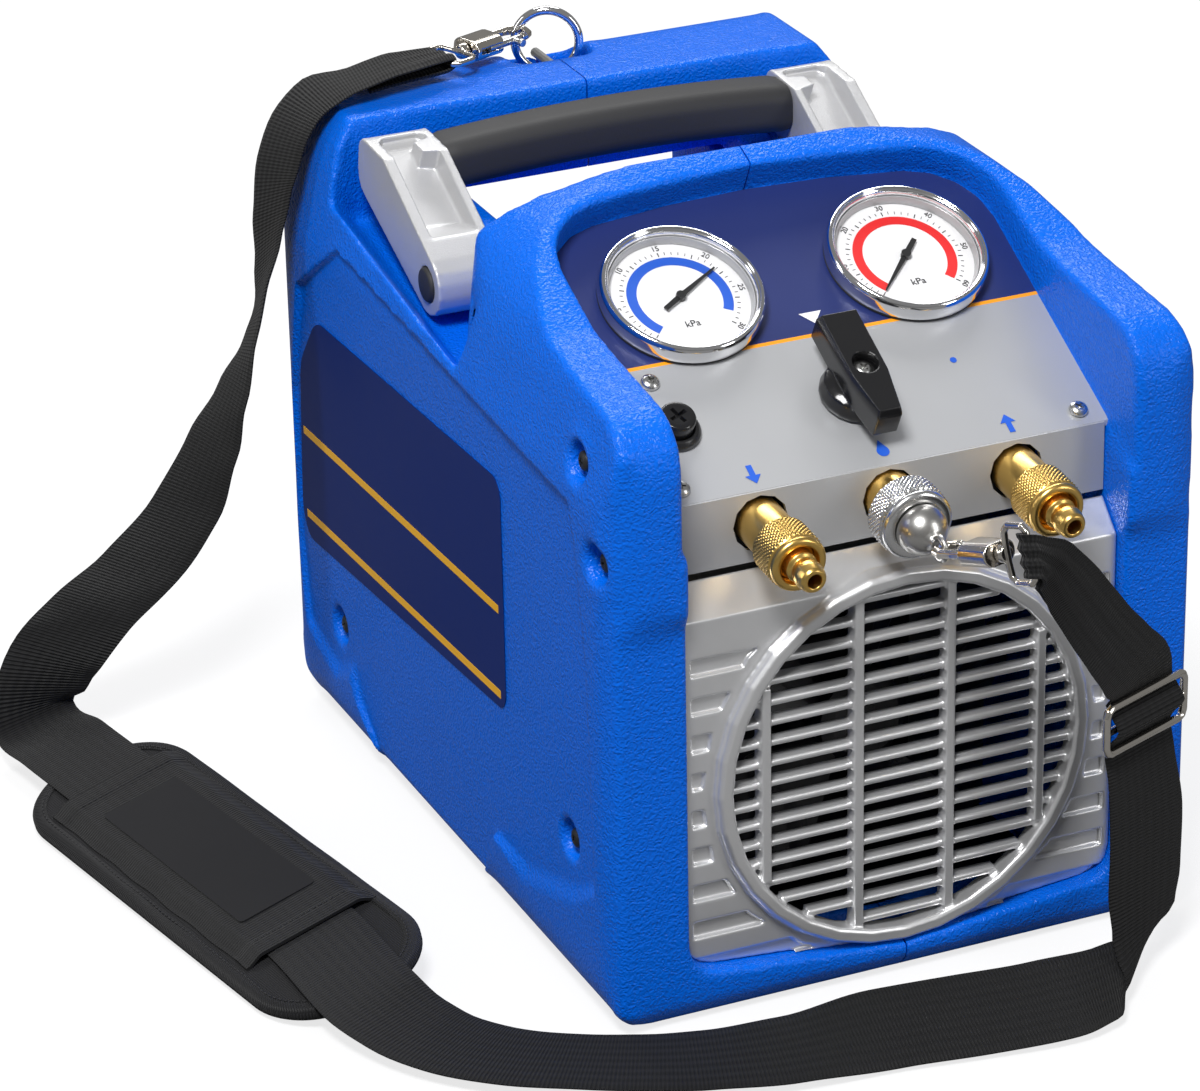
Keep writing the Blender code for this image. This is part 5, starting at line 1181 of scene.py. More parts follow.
def grip_mesh():
    """A bar of rounded section, arched, with its ends eased over the last millimetre."""
    corner, half_y, half_z = 0.0070, 0.01175, 0.0100
    section = []
    for sign_y, sign_z, start in ((1, 1, 0), (-1, 1, 90), (-1, -1, 180), (1, -1, 270)):
        for step in range(9):
            angle = math.radians(start + step * 11.25)
            section.append((sign_y * (half_y - corner) + corner * math.cos(angle),
                            sign_z * (half_z - corner) + corner * math.sin(angle)))
    bm = bmesh.new()
    rings = []
    stations = 48
    for step in range(stations + 1):
        share = 2 * step / stations - 1
        x = share * (GRIP_HALF - 0.0003)
        ease = 1 - 0.06 * max(0, (abs(share) - 0.985) / 0.015)
        lift = GRIP_CENTRE[1] + GRIP_RISE * (1 - share ** 2)
        rings.append([bm.verts.new((x, GRIP_CENTRE[0] + y * ease, lift + z * ease)) for y, z in section])
    count = len(section)
    for before, after in zip(rings, rings[1:]):
        for index in range(count):
            nxt = (index + 1) % count
            bm.faces.new((before[index], before[nxt], after[nxt], after[index]))
    bm.faces.new(rings[0])
    bm.faces.new(rings[-1])
    bmesh.ops.recalc_face_normals(bm, faces=bm.faces)
    mesh = bpy.data.meshes.new("grip")
    bm.to_mesh(mesh)
    bm.free()
    mesh.shade_smooth()
    mesh.set_sharp_from_angle(angle=math.radians(45))
    return mesh


settle_piece("grip_bar", grip_mesh(), black_rubber, "machine", ["handle_grip"])
print("grip:", GRIP_HALF * 2000, "mm long")

# %% [markdown]
# ## Strap hardware
# A wire ring hangs in the rear bridge, a snap hook with a swivel eye holds each end of the webbing,
# and a three-bar slider sets the length. Bent and cast wire is round in section with soft joins.
# The ring is turned; the hooks and slider keep their solids' form, and a very fine remesh with
# smoothing takes their facets away.

# %% Ring, hooks and slider
def wire_mesh(node, voxel, rounds=6):
    skin = remeshed(node_mesh(node), voxel)
    relax(skin, rounds)
    skin = thinned(skin, 0.6)
    skin.shade_smooth()
    return skin


RING_RADIUS = 0.0130
RING_WIRE = 0.0018
section = [(RING_RADIUS + RING_WIRE * math.cos(math.radians(a)), RING_WIRE * math.sin(math.radians(a)))
           for a in range(0, 360, 20)]
ring = lathe(section, 96, closed=True)
ring.transform(Matrix.Rotation(math.radians(90), 4, "X"))
ring.transform(Matrix.Rotation(math.radians(-24), 4, "Z"))
ring.transform(Matrix.Translation((0, 0.1683, 0.2570 + 0.0087)))
settle_piece("polished_ring", ring, bright_chrome, "ring", ["strap_ring"])

for hook in ("hook_upper", "hook_lower"):
    settle_piece(f"{hook}_shape", wire_mesh(f"{hook}_body", 0.00028), bright_nickel, hook,
                 [f"{hook}_body"])
    settle_piece(f"{hook}_gate_pin", wire_mesh(f"{hook}_bolt", 0.00020, 3), plated_steel, f"{hook}_gate",
                 [f"{hook}_bolt"])
    settle_piece(f"{hook}_bow", wire_mesh(f"{hook}_eye", 0.00028), bright_nickel, "machine",
                 [f"{hook}_eye"])
settle_piece("wire_slider", wire_mesh("strap_slider", 0.00035), bright_nickel, "machine",
             ["strap_slider"])
print("ring:", RING_RADIUS * 2000, "mm across at the middle of its wire")

# %% [markdown]
# ## Woven cloths
# The webbing and the pad's sleeve are ribbed: fine cords run across the band. The pad's cover is a
# plain weave. One group makes both from a position given in metres, across and along the band, so
# the threads keep their real pitch however the band twists. The mesh carries that position in its UV
# map. The threads feed the Bump height, and the same height scales the colour: painted shade in the valleys between
# them, and a little painted light on their tops.

# %% Group: woven threads
def woven_group():
    """Threads across and along a band, from its UV map in metres."""
    group, given, result = start_group(
        "woven threads",
        [("Rib pitch", "NodeSocketFloat", 0.0011), ("Warp pitch", "NodeSocketFloat", 0.0016),
         ("Warp share", "NodeSocketFloat", 0.35)],
        [("Height", "NodeSocketFloat")])
    where = add_node(group, "ShaderNodeUVMap").outputs[0]
    parts = add_node(group, "ShaderNodeSeparateXYZ", {0: where})
    threads = []
    for axis, pitch in (("Y", "Rib pitch"), ("X", "Warp pitch")):
        turns = add_node(group, "ShaderNodeMath", {0: parts.outputs[axis], 1: given.outputs[pitch]},
                         operation="DIVIDE")
        phase = add_node(group, "ShaderNodeMath", {0: turns.outputs[0], 1: 2 * math.pi}, operation="MULTIPLY")
        wave = add_node(group, "ShaderNodeMath", {0: phase.outputs[0]}, operation="SINE")
        threads.append(add_node(group, "ShaderNodeMath", {0: wave.outputs[0], 1: 0.5, 2: 0.5},
                                operation="MULTIPLY_ADD").outputs[0])
    warp = add_node(group, "ShaderNodeMath", {0: threads[1], 1: given.outputs["Warp share"]}, operation="MULTIPLY")
    both = add_node(group, "ShaderNodeMath", {0: threads[0], 1: warp.outputs[0]}, operation="ADD")
    group.links.new(both.outputs[0], result.inputs["Height"])
    return group


woven_threads = woven_group()


def woven_cloth(name, colour, roughness, rib, warp, warp_share, depth, sheen=0.05):
    """Black polyester or nylon cloth with its threads, painted shade between them, and a soft sheen."""
    made, tree, shader = start_material(name, colour, roughness)
    threads = place_group(tree, woven_threads, {"Rib pitch": rib, "Warp pitch": warp, "Warp share": warp_share})
    tone = place_group(tree, uneven_tone, {"Color": (*colour, 1), "Roughness": roughness, "Size": 35.0,
                                           "Amount": 0.10})
    # painted shade: the colour is darkened in the valleys between the threads and lifted a little on their tops
    painted_thread_shade = add_node(tree, "ShaderNodeMath", {0: threads.outputs["Height"], 1: 0.80, 2: 0.35},
                      operation="MULTIPLY_ADD")
    shaded = add_node(tree, "ShaderNodeMixRGB", {"Fac": 1.0, "Color1": tone.outputs["Color"],
                                                 "Color2": painted_thread_shade.outputs[0]}, blend_type="MULTIPLY")
    bump = add_node(tree, "ShaderNodeBump", {"Height": threads.outputs["Height"], "Strength": 0.8,
                                             "Distance": depth})
    tree.links.new(shaded.outputs[0], shader.inputs["Base Color"])
    tree.links.new(tone.outputs["Roughness"], shader.inputs["Roughness"])
    tree.links.new(bump.outputs["Normal"], shader.inputs["Normal"])
    shader.inputs["Specular IOR Level"].default_value = 0.25
    shader.inputs["Sheen Weight"].default_value = sheen
    shader.inputs["Sheen Roughness"].default_value = 0.5
    return made


ribbed_webbing = woven_cloth("ribbed_webbing", (0.0075, 0.0075, 0.008), 0.64, 0.0014, 0.0044, 0.35, 0.00060)
pad_cover = woven_cloth("pad_cover", (0.007, 0.007, 0.008), 0.80, 0.0009, 0.0009, 1.0, 0.00020)
bias_tape = woven_cloth("bias_tape", (0.009, 0.009, 0.010), 0.55, 0.0011, 0.0030, 0.30, 0.00030)
stitch_thread = woven_cloth("stitch_thread", (0.022, 0.022, 0.024), 0.60, 0.0006, 0.0006, 0.5, 0.00010)
print("cloths:", ", ".join(m.name for m in (ribbed_webbing, pad_cover, bias_tape)))

# %% [markdown]
# ## Webbing
# The strap is one band, 38 mm wide and 1.6 mm thick. It leaves the upper hook gathered, falls behind
# the machine, turns through the pad's sleeve on the floor, comes back along the front, climbs through
# the slider and ends gathered in the lower hook. Its path is a list of chosen places: the middle of
# the band, the compass turn and lean of its width, and its width where it is gathered. A smooth curve
# through them gives as many sections as the ribs and folds need.

# %% Webbing path
STRAP_WIDTH = 0.038
STRAP_THICKNESS = 0.0016
PAD_CENTRE = Vector((-0.212, 0.0093, 0.0142))
PAD_ALONG = Vector((0.180, -0.984, 0)).normalized()
PAD_TILT = math.radians(12)
SLIDER_CENTRE = Vector((0.078, -0.1907, 0.107))
SLIDER_TURN = 22
# x, y, z in mm, turn and lean in degrees, and the width in mm where the band is gathered
BACK_RUN = (
    (-84, 156.3, 264.2, -96, 0, 20), (-74, 156.3, 265.4, -92, 0, 19), (-62, 155.8, 266.4, -76, 0, 17),
    (-54, 156.3, 266.6, -69, 0, 16), (-49.9, 157.7, 267.4, -69, 0, 16), (-49.0, 158.1, 269.4, -69, 0, 16),
    (-49.9, 157.7, 271.4, -69, 0, 16), (-54, 156.3, 272.3, -69, 0, 17), (-61, 155.8, 272.2, -78, 2, 22),
    (-73, 156.3, 270.9, -100, 4, 32), (-88, 156.3, 267.4, -102, 6), (-104, 156.3, 264, -93, 1),
    (-115, 156.3, 254, -86, 7), (-121.5, 156.3, 239, -83, 13), (-125.5, 156.3, 220, -84, 26),
    (-128, 156.3, 201, -90, 33), (-132, 156.3, 182, -100, 34), (-137, 156.3, 166, -101, 22),
    (-146, 157.3, 142, -92, 9), (-155, 158.3, 121, -79, 3), (-168, 159.3, 95, -66, 1),
    (-188, 160.3, 73, -56, -4), (-208, 161.3, 58, -45, -8),
    (-223, 162.3, 43, -34, -14), (-232, 163.3, 28, -12, -8), (-236.5, 162.3, 14, 14, 6),
)
FLOOR_RUN = (
    (-188, -123.7, 9, 20, 6), (-177, -140.7, 6.5, 33, 3), (-160, -156.7, 5.5, 46, 1), (-140, -168.7, 5, 56, 0),
    (-119, -179.7, 5, 64, 1), (-98, -188.7, 5.5, 71, 3), (-68, -196.7, 6.5, 79, 8), (-32, -200.7, 8, 84, 19),
    (0, -206.7, 9, 88, 21), (30, -210.7, 9.5, 88, 20), (56, -207.7, 9, 72, 15), (74, -197.7, 10, 48, 8),
    (80, -190.7, 20, 24, 2), (81, -188.7, 36, 17, 0), (81, -188.7, 62, 17, 0),
)
HOOK_RUN = (
    (76.5, -189.7, 121, 22, 8, 35), (72.5, -192.7, 127, 18, 24, 33), (64, -197.7, 137, 15, 35, 29),
    (53, -201.7, 151, 8, 36, 26), (40, -206.7, 169, 4, 32, 24), (26, -214.7, 187, 10, 46, 20),
    (17.5, -222.7, 194, 60, 66, 17), (13.4, -225.1, 197.6, 106, 74, 16),
    (10.4, -224.7, 198.2, 106, 74, 16), (9.3, -222.9, 197.8, 106, 74, 16),
    (9.4, -220.9, 197.2, 106, 74, 16), (11.2, -219.9, 196.6, 106, 74, 16), (18, -217.3, 191.8, 60, 66, 17),
    (27, -210.9, 184.4, 10, 46, 19), (38, -203.3, 171.5, 4, 34, 20),
)


def across_way(turn, lean):
    """The direction across the webbing, from a compass turn and a lean, in degrees."""
    turn, lean = math.radians(turn), math.radians(lean)
    return Vector((math.cos(turn) * math.cos(lean), math.sin(turn) * math.cos(lean), math.sin(lean)))


def pad_point(along, across=0.0, height=0.0):
    """A place on the shoulder pad, measured from the middle of its sleeve."""
    level = PAD_ALONG.cross(Vector((0, 0, 1))) * -1
    across_dir = level * math.cos(PAD_TILT) + Vector((0, 0, 1)) * math.sin(PAD_TILT)
    normal = PAD_ALONG.cross(across_dir)
    return PAD_CENTRE + PAD_ALONG * along + across_dir * across + normal * height


def slider_point(rise, out):
    way = across_way(SLIDER_TURN, 0)
    return SLIDER_CENTRE + Vector((0, 0, rise)) + way.cross(Vector((0, 0, 1))) * out


def webbing_stations():
    """(centre, direction across, width) of every chosen place, in order."""
    stations = []

    def lay(rows):
        for row in rows:
            width = row[5] / 1000 if len(row) > 5 else STRAP_WIDTH
            stations.append((Vector(row[:3]) / 1000, across_way(row[3], row[4]), width))

    lay(BACK_RUN)
    pad_across = (pad_point(0, 1) - pad_point(0)).normalized()
    for along, across in ((-0.128, 0.002), (-0.095, 0.002), (0.060, 0.002), (0.114, -0.004)):
        stations.append((pad_point(along, across), pad_across, STRAP_WIDTH))
    lay(FLOOR_RUN)
    weave = ((-0.020, -0.0012), (-0.0092, -0.0031), (-0.0046, 0), (0, 0.0031), (0.0046, 0), (0.0092, -0.0031))
    for rise, out in weave:
        stations.append((slider_point(rise, out), across_way(SLIDER_TURN, 0), STRAP_WIDTH))
    lay(HOOK_RUN)
    return stations


# %% Webbing
def between(before, here, after, later, share):
    """A point on a Catmull-Rom curve. Spans are weighed by length, so short ones don't loop."""
    span = max((after - here).length, 1e-6)
    first = (after - before) / max((after - before).length, 1e-6)
    second = (later - here) / max((later - here).length, 1e-6)
    square, cube = share ** 2, share ** 3
    return (here * (2 * cube - 3 * square + 1) + first * span * (cube - 2 * square + share)
            + after * (3 * square - 2 * cube) + second * span * (cube - square))


def smooth_stations(stations, spacing):
    """The stations, with more laid between them along a smooth curve."""
    result = []
    for index in range(len(stations) - 1):
        before = stations[max(index - 1, 0)]
        here, after = stations[index], stations[index + 1]
        later = stations[min(index + 2, len(stations) - 1)]
        steps = max(2, round((after[0] - here[0]).length / spacing))
        for step in range(steps):
            share = step / steps
            ease = share * share * (3 - 2 * share)
            centre = between(before[0], here[0], after[0], later[0], share)
            across = here[1].lerp(after[1], ease).normalized()
            result.append((centre, across, here[2] + (after[2] - here[2]) * ease))
    result.append(stations[-1])
    return result


def band_mesh(name, stations, thickness, columns=12):
    """A closed band with rounded edges. Its UV map holds metres across and along."""
    half = thickness / 2
    outline = [(-1 + 2 * c / columns, 1) for c in range(columns + 1)]
    outline += [(1 - 2 * c / columns, -1) for c in range(columns + 1)]
    bm = bmesh.new()
    uv = bm.loops.layers.uv.new("UVMap")
    rings, run, place_before = [], 0.0, stations[0][0]
    for index, (centre, across, width) in enumerate(stations):
        before, after = stations[max(index - 1, 0)][0], stations[min(index + 1, len(stations) - 1)][0]
        normal = (after - before).cross(across).normalized()
        run += (centre - place_before).length
        place_before = centre
        fold = 0.5 * max(0.0, 1 - width / STRAP_WIDTH)
        ring = []
        for share, side in outline:
            thin = half * (0.35 if abs(share) == 1 else 1.0)
            ripple = fold * 0.0022 * math.cos(share * math.pi * 3)
            point = centre + across * share * width / 2 + normal * (side * thin + ripple)
            ring.append((bm.verts.new(point), share * STRAP_WIDTH / 2, run))
        rings.append(ring)
    count = len(outline)
    for lower, upper in zip(rings, rings[1:]):
        for index in range(count):
            nxt = (index + 1) % count
            corners = (lower[index], lower[nxt], upper[nxt], upper[index])
            face = bm.faces.new([corner[0] for corner in corners])
            for loop, corner in zip(face.loops, corners):
                loop[uv].uv = (corner[1], corner[2])
    bm.faces.new([corner[0] for corner in reversed(rings[0])])
    bm.faces.new([corner[0] for corner in rings[-1]])
    bmesh.ops.recalc_face_normals(bm, faces=bm.faces)
    mesh = bpy.data.meshes.new(name)
    bm.to_mesh(mesh)
    bm.free()
    mesh.shade_smooth()
    mesh.set_sharp_from_angle(angle=math.radians(55))
    return mesh, run


chosen = webbing_stations()
mesh, strap_length = band_mesh("webbing", smooth_stations(chosen, 0.004), STRAP_THICKNESS)
webbing = settle_piece("strap_band", mesh, ribbed_webbing, "machine", ["strap_webbing"])
print("webbing:", round(strap_length * 1000), "mm long")

# %% [markdown]
# ## Shoulder pad
# The pad is a soft slab bound all round with a folded tape that is sewn down with a slightly wavy
# line of stitches. On it lies a woven sleeve, hemmed at both ends, that the webbing runs through.
# A cloth simulation would mostly lose these edges, and the pad lies flat, so it is modelled directly:
# a crowned slab from rings that shrink towards its middle, a tape swept round its edge, and every
# stitch a small bead of thread.

# %% Pad helpers
PAD_LENGTH = 0.224
PAD_WIDTH = 0.070
PAD_LOW = -0.0063
PAD_TOP = -0.0012


def pad_outline(inset, count=160):
    """Evenly spaced points of the pad's rounded outline, pulled in by a distance."""
    radius = 0.031 - inset
    straight = PAD_LENGTH - 2 * 0.031
    ends = PAD_WIDTH - 2 * 0.031
    length = 2 * straight + 2 * ends + 2 * math.pi * radius
    points = []
    for index in range(count):
        far = length * index / count
        corner = math.pi / 2 * radius
        for quarter, run in enumerate((ends, straight, ends, straight)):
            cx = (1, -1, -1, 1)[quarter] * straight / 2
            cy = (1, 1, -1, -1)[quarter] * ends / 2
            if far <= corner:
                angle = math.pi / 2 * quarter + far / radius
                points.append((cx + radius * math.cos(angle), cy + radius * math.sin(angle)))
                break
            far -= corner
            run = (straight, ends, straight, ends)[quarter]
            if far <= run:
                way = math.pi / 2 * (quarter + 1)
                start = (cx + radius * math.cos(way), cy + radius * math.sin(way))
                points.append((start[0] - math.sin(way) * far, start[1] + math.cos(way) * far))
                break
            far -= run
    return points


def wander(along, across, size):
    """A small smooth unevenness of the pad, in metres."""
    return size * (math.sin(along * 61 + 1.3) * math.cos(across * 83) + 0.6 * math.sin(along * 143 + across * 97))


def pad_slab():
    """The crowned slab: rings from the edge to the middle, above and below."""
    bm = bmesh.new()
    uv = bm.loops.layers.uv.new("UVMap")
    middle = (PAD_LOW + PAD_TOP) / 2
    rows = []
    insets = [0.0, 0.0006, 0.0016, 0.0035, 0.006, 0.010, 0.015, 0.021, 0.027]
    for side, order in ((-1, list(reversed(insets))), (1, insets)):
        for inset in order:
            full = min(1.0, (inset / 0.0035)) ** 0.5 if inset < 0.0035 else 1.0
            height = middle + side * (0.0012 + (0.00130 * full))
            row = []
            for a, b in pad_outline(inset):
                lift = wander(a, b, 0.00012) if side > 0 else 0
                row.append((bm.verts.new(pad_point(a, b, height + lift)), a, b))
            rows.append(row)
    for lower, upper in zip(rows, rows[1:]):
        for index in range(len(lower)):
            nxt = (index + 1) % len(lower)
            corners = (lower[index], lower[nxt], upper[nxt], upper[index])
            face = bm.faces.new([corner[0] for corner in corners])
            for loop, corner in zip(face.loops, corners):
                loop[uv].uv = (corner[1], corner[2])
    for row in (rows[0], rows[-1]):
        face = bm.faces.new([corner[0] for corner in row])
        for loop, corner in zip(face.loops, row):
            loop[uv].uv = (corner[1], corner[2])
    bmesh.ops.recalc_face_normals(bm, faces=bm.faces)
    mesh = bpy.data.meshes.new("pad")
    bm.to_mesh(mesh)
    bm.free()
    mesh.shade_smooth()
    return mesh


def tape_round_pad():
    """The binding: a soft fold of tape that reaches 6 mm over each face."""
    bm = bmesh.new()
    uv = bm.loops.layers.uv.new("UVMap")
    middle = (PAD_LOW + PAD_TOP) / 2
    profile = [(0.0062, 0.0026), (0.0061, 0.0031), (0.0052, 0.0034), (0.0030, 0.0034), (0.0012, 0.0029),
               (0.0003, 0.0018), (0.0000, 0.0), (0.0003, -0.0018), (0.0012, -0.0026), (0.0030, -0.00275),
               (0.0060, -0.0027), (0.0060, -0.0018), (0.0016, -0.0014), (0.0010, 0.0), (0.0016, 0.0018),
               (0.0050, 0.0024)]
    rows = []
    for inset, height in profile:
        rows.append([(bm.verts.new(pad_point(a, b, middle + height + (wander(a, b, 0.00015) if height > 0 else 0))),
                      inset, index) for index, (a, b) in enumerate(pad_outline(inset, 240))])
    step = (2 * (PAD_LENGTH + PAD_WIDTH) - 0.053) / 240
    count = len(rows)
    for number in range(count):
        lower, upper = rows[number], rows[(number + 1) % count]
        for index in range(240):
            nxt = (index + 1) % 240
            corners = ((lower[index], index), (lower[nxt], index + 1), (upper[nxt], index + 1), (upper[index], index))
            face = bm.faces.new([corner[0][0] for corner in corners])
            for loop, corner in zip(face.loops, corners):
                loop[uv].uv = (corner[0][1], corner[1] * step)
    bmesh.ops.recalc_face_normals(bm, faces=bm.faces)
    mesh = bpy.data.meshes.new("tape")
    bm.to_mesh(mesh)
    bm.free()
    mesh.shade_smooth()
    mesh.set_sharp_from_angle(angle=math.radians(60))
    return mesh


def stitches(places, length, thick):
    """Beads of thread. Each place is (middle, direction, up)."""
    bm = bmesh.new()
    for middle, way, up in places:
        made = bmesh.ops.create_icosphere(bm, subdivisions=1, radius=1)
        side = way.cross(up)
        turn = Matrix((way * length / 2, side * thick / 2, up * thick / 2)).transposed().to_4x4()
        bmesh.ops.transform(bm, matrix=Matrix.Translation(middle) @ turn, verts=made["verts"])
    mesh = bpy.data.meshes.new("stitches")
    bm.to_mesh(mesh)
    bm.free()
    mesh.shade_smooth()
    return mesh


def seam_places(points, height, pitch_ratio=0.6):
    """Stitch places along a line of pad coordinates."""
    up = (pad_point(0, 0, 1) - pad_point(0)).normalized()
    places = []
    for (a, b), (c, d) in zip(points, points[1:]):
        start, end = pad_point(a, b, height), pad_point(c, d, height)
        places.append(((start + end) / 2, (end - start).normalized(), up))
    return places


# %% Pad
pad = settle_piece("pad_slab", pad_slab(), pad_cover, "machine", ["strap_pad"])
tape = settle_piece("pad_binding", tape_round_pad(), bias_tape, "machine")
middle = (PAD_LOW + PAD_TOP) / 2
outline = [(a, b) for a, b in pad_outline(0.0048, 200)]
wavy = []
for index, (a, b) in enumerate(outline):
    shrink = 1 + 0.006 * math.sin(index * 0.42) + 0.004 * math.sin(index * 0.17 + 1)
    wavy.append((a, b * shrink))
mesh = stitches(seam_places(wavy + wavy[:1], middle + 0.0035), 0.0022, 0.0006)
settle_piece("pad_stitching", mesh, stitch_thread, "machine")

# %% Sleeve
SLEEVE_LOW, SLEEVE_HIGH = -0.085, 0.065
SLEEVE_MIDDLE = 0.002


def sleeve_section(across):
    """Height of the sleeve's outer face over the pad, across the webbing."""
    flat, foot = 0.0212, 0.0290
    far = min(max((abs(across) - flat) / (foot - flat), 0), 1)
    drop = far * far * (3 - 2 * far)
    return 0.0025 - 0.0031 * drop


def sleeve_mesh():
    """A band over the webbing, about a millimetre thick, with rolled hems near its ends."""
    bm = bmesh.new()
    uv = bm.loops.layers.uv.new("UVMap")
    columns, stations = 36, 75
    rows = []
    for step in range(stations + 1):
        along = SLEEVE_LOW + (SLEEVE_HIGH - SLEEVE_LOW) * step / stations
        from_end = min(along - SLEEVE_LOW, SLEEVE_HIGH - along)
        hem = 0.0005 if from_end < 0.0085 else 0.0
        row = []
        for side in (1, -1):
            order = range(columns + 1) if side > 0 else range(columns, -1, -1)
            for column in order:
                across = -0.0290 + 0.0580 * column / columns
                height = sleeve_section(across) + (hem + wander(along, across, 0.00016)) * (side > 0)
                height -= 0 if side > 0 else 0.0008
                edge = 0.0003 * math.sin(along * 210) * (across / 0.029)
                row.append((bm.verts.new(pad_point(along, across + SLEEVE_MIDDLE + edge, height)), across, along))
        rows.append(row)
    for lower, upper in zip(rows, rows[1:]):
        for index in range(len(lower)):
            nxt = (index + 1) % len(lower)
            corners = (lower[index], lower[nxt], upper[nxt], upper[index])
            face = bm.faces.new([corner[0] for corner in corners])
            for loop, corner in zip(face.loops, corners):
                loop[uv].uv = (corner[1], corner[2])
    for row in (rows[0], rows[-1]):
        half = len(row) // 2
        for index in range(half - 1):
            bm.faces.new((row[index][0], row[index + 1][0], row[-index - 2][0], row[-index - 1][0]))
    bmesh.ops.recalc_face_normals(bm, faces=bm.faces)
    mesh = bpy.data.meshes.new("sleeve")
    bm.to_mesh(mesh)
    bm.free()
    mesh.shade_smooth()
    mesh.set_sharp_from_angle(angle=math.radians(60))
    return mesh


sleeve = settle_piece("pad_sleeve", sleeve_mesh(), ribbed_webbing, "machine")
lines = []
for across in (-0.0262, 0.0262):
    points = [(SLEEVE_LOW + 0.003 + 0.0026 * n, across + SLEEVE_MIDDLE) for n in range(56)]
    lines += seam_places(points, -0.0001)
for along in (SLEEVE_LOW + 0.0086, SLEEVE_HIGH - 0.0086):
    points = [(along, -0.0200 + SLEEVE_MIDDLE + 0.0026 * n) for n in range(17)]
    lines += seam_places(points, 0.0030)
settle_piece("sleeve_stitching", stitches(lines, 0.0020, 0.0006), stitch_thread, "machine")
print("pad:", PAD_LENGTH * 1000, "by", PAD_WIDTH * 1000, "mm")

# %% [markdown]
# ## Back, inside and small parts
# The back plate, the mains inlet and the switch are plain mouldings and pressings, so a bevelled copy
# is enough. The inside shows only as dark shapes behind the guard's ribs and the back plate's slots,
# and those solids keep their CAD form and get finishes of their own.

# %% Remaining solids
for node, name, finish, body, slot in (
        ("rear_grille", "back_plate", silver_paint, "machine", "silver_paint"),
        ("power_inlet", "mains_inlet", black_plastic, "machine", "black_plastic"),
        ("switch_body", "switch_frame", black_plastic, "machine", "black_plastic"),
        ("power_rocker", "rocker_key", glossy_black, "rocker", "black_plastic")):
    settle_piece(name, edge_softened(node, 0.0004), finish, body, [node])


def dress(names, finish):
    """Gives CAD solids that stay in view a finish of their own."""
    for name in names:
        obj = nodes[name]
        if not obj.material_slots:
            obj.data.materials.append(finish)
        for holder in obj.material_slots:
            holder.material = finish


dress(("gauge_left_needle", "gauge_right_needle"), black_plastic)
dress(("fan_rotor",), black_plastic)
dress(("fan_motor", "drive_motor", "manifold_block", "chassis"), dark_metal)
dress(("compressor",), cast_aluminium)
dress(("condenser_coil",), finned_coil)
dress(("selector_valve",), golden_brass)
dress(("ring_pin",), plated_steel)
print("dressed the solids that stay")

# %% [markdown]
# ## Side labels and printed marks
# A large navy label with two yellow stripes is stuck in the field of each side, and the panel carries
# a few printed marks. They are thin sheets of their own, a quarter of a millimetre proud, because a
# real label has an edge that catches the light. The marks are plain signs: a pointer over the knob, a
# dot beside it, and an arrow in, a drop and an arrow out over the three ports.

# %% Side labels
label_navy = toothed_finish("label_navy", (0.003, 0.018, 0.140), 0.45, 0.0, 1500.0, 0.00004, 0.04, 0.10)
label_navy.node_tree.nodes["Principled BSDF"].inputs["Specular IOR Level"].default_value = 0.15
stripe_yellow = toothed_finish("stripe_yellow", (0.86, 0.44, 0.012), 0.38, 0.0, 1500.0, 0.00004, 0.03, 0.10)
FIELD_X = HALF_WIDTH - FIELD_DEPTH
LABEL = ((0.1353, 0.1770), (0.1553, 0.1520), (0.1600, 0.0860), (0.1540, 0.0750), (-0.0500, 0.0880),
         (-0.0537, 0.0930), (-0.0537, 0.1780), (-0.0490, 0.1830))
# Height of each stripe at its rear end and at its front end
STRIPES = ((0.1225, 0.1290), (0.0855, 0.0936))
STRIPE_HALF = 0.0016


def flat_sheet(outline, thick, place, radius=0.0):
    """A thin closed sheet from a 2-D outline. place turns (a, b, height) into a point."""
    if radius:
        outline = softened(outline, radius, closed=True, steps=6)
    bm = bmesh.new()
    low = [bm.verts.new(place(a, b, 0)) for a, b in outline]
    high = [bm.verts.new(place(a, b, thick)) for a, b in outline]
    count = len(outline)
    for index in range(count):
        nxt = (index + 1) % count
        bm.faces.new((low[index], low[nxt], high[nxt], high[index]))
    bm.faces.new(low)
    bm.faces.new(high)
    bmesh.ops.recalc_face_normals(bm, faces=bm.faces)
    mesh = bpy.data.meshes.new("flat_sheet")
    bm.to_mesh(mesh)
    bm.free()
    return mesh


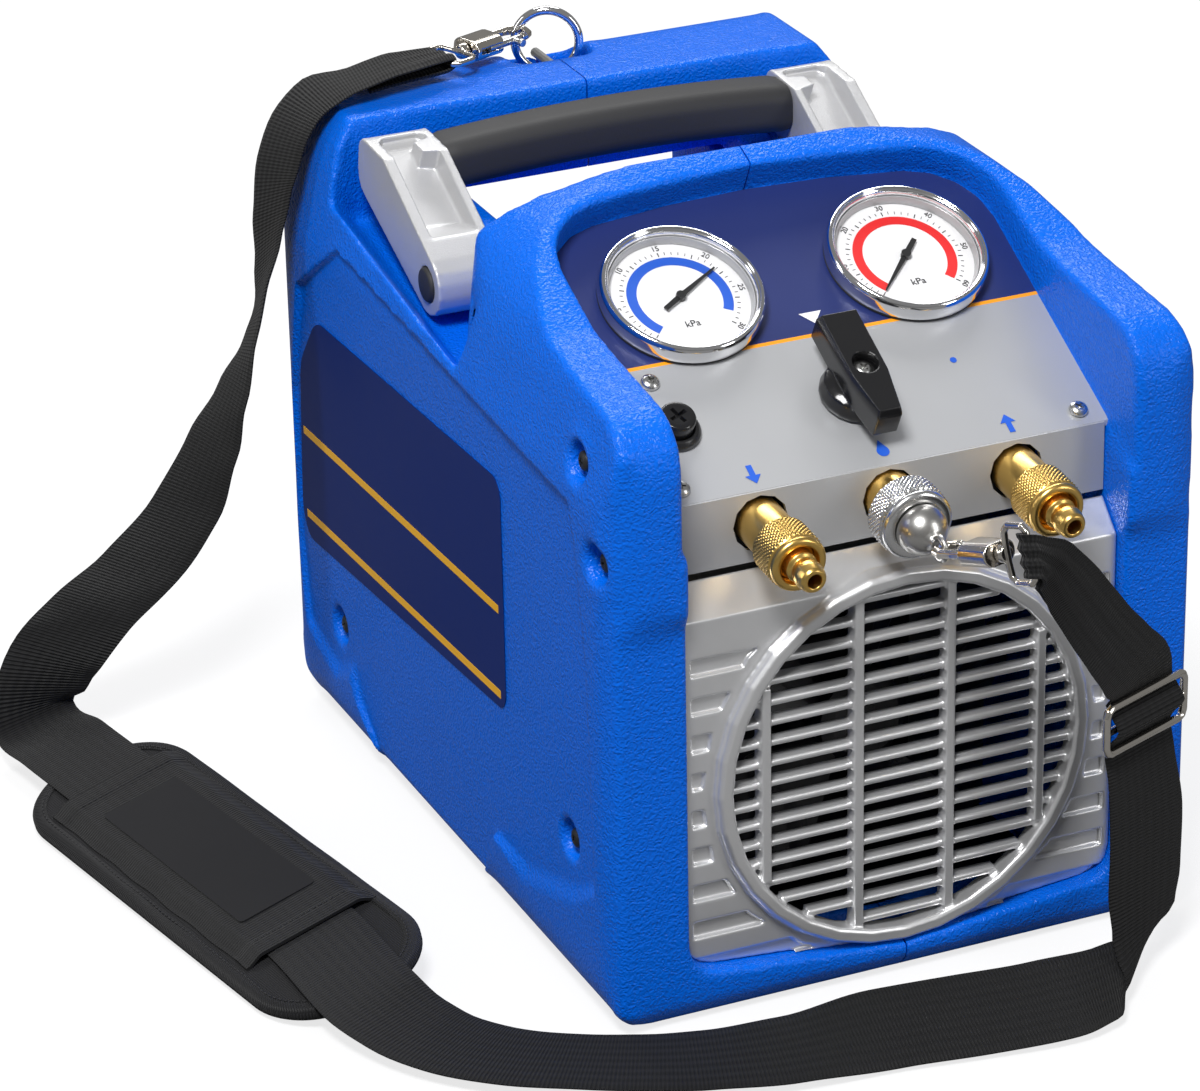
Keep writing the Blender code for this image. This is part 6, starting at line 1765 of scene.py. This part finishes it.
for side_name, side in (("left", -1), ("right", 1)):
    def on_field(y, z, height, side=side):
        return (side * (FIELD_X + 0.0001 + height), y, z)

    def on_label(y, z, height, side=side):
        return (side * (FIELD_X + 0.00035 + height), y, z)

    settle_piece(f"side_label_{side_name}", flat_sheet(LABEL, 0.00025, on_field, 0.008), label_navy, "machine")
    bands = []
    for rear, front in STRIPES:
        corners = ((0.1545, rear + STRIPE_HALF), (-0.0490, front + STRIPE_HALF), (-0.0490, front - STRIPE_HALF),
                   (0.1545, rear - STRIPE_HALF))
        bands.append(flat_sheet(corners, 0.00015, on_label))
    settle_piece(f"side_stripes_{side_name}", merged(bands), stripe_yellow, "machine")

def on_sleeve(a, b, height):
    return pad_point(a, b + SLEEVE_MIDDLE, 0.0022 + height)


smooth_cloth = woven_cloth("smooth_cloth", (0.006, 0.006, 0.007), 0.75, 0.0005, 0.0005, 1.0, 0.00010)
PATCH = ((-0.064, -0.017), (0.042, -0.017), (0.042, 0.017), (-0.064, 0.017))
settle_piece("sleeve_patch", flat_sheet(PATCH, 0.0009, on_sleeve, 0.002), smooth_cloth, "machine")
print("labels on both sides, and a bare patch on the pad")

# %% Marks on the panel
def on_panel(x, rise, height):
    return panel_point(x, rise, 0.0001 + height)


def disc(x, rise, radius, steps=24):
    return [(x + radius * math.cos(2 * math.pi * n / steps), rise + radius * math.sin(2 * math.pi * n / steps))
            for n in range(steps)]


def arrow(x, rise, way, size):
    """An arrow that points up the slope for way 1, and down for -1."""
    shape = ((0, 0.5), (0.36, 0.05), (0.13, 0.05), (0.13, -0.5), (-0.13, -0.5), (-0.13, 0.05), (-0.36, 0.05))
    return [(x + a * size, rise + b * size * way) for a, b in shape]


def drop(x, rise, size, steps=20):
    """A drop: a circle drawn up to a point."""
    outline = []
    for n in range(steps + 1):
        angle = math.radians(-210 + 240 * n / steps)
        outline.append((x + 0.30 * size * math.cos(angle), rise - 0.15 * size + 0.30 * size * math.sin(angle)))
    return outline + [(x, rise + 0.5 * size)]


MARK_THICK = 0.00012
pointer = [(0.0, 0.0690), (0.0045, 0.0745), (-0.0045, 0.0745)]
settle_piece("pointer_mark", flat_sheet(pointer, MARK_THICK, on_panel), print_white, "machine")
blue_marks = (("close_mark", disc(0.0439, 0.0406, 0.0013)), ("inlet_mark", arrow(-PORT_SPREAD, 0.0078, -1, 0.0085)),
              ("purge_mark", drop(0.0, 0.0078, 0.0080)), ("outlet_mark", arrow(PORT_SPREAD, 0.0078, 1, 0.0085)))
for name, outline in blue_marks:
    settle_piece(name, flat_sheet(outline, MARK_THICK, on_panel), print_blue, "machine")
print("marks:", 1 + len(blue_marks))
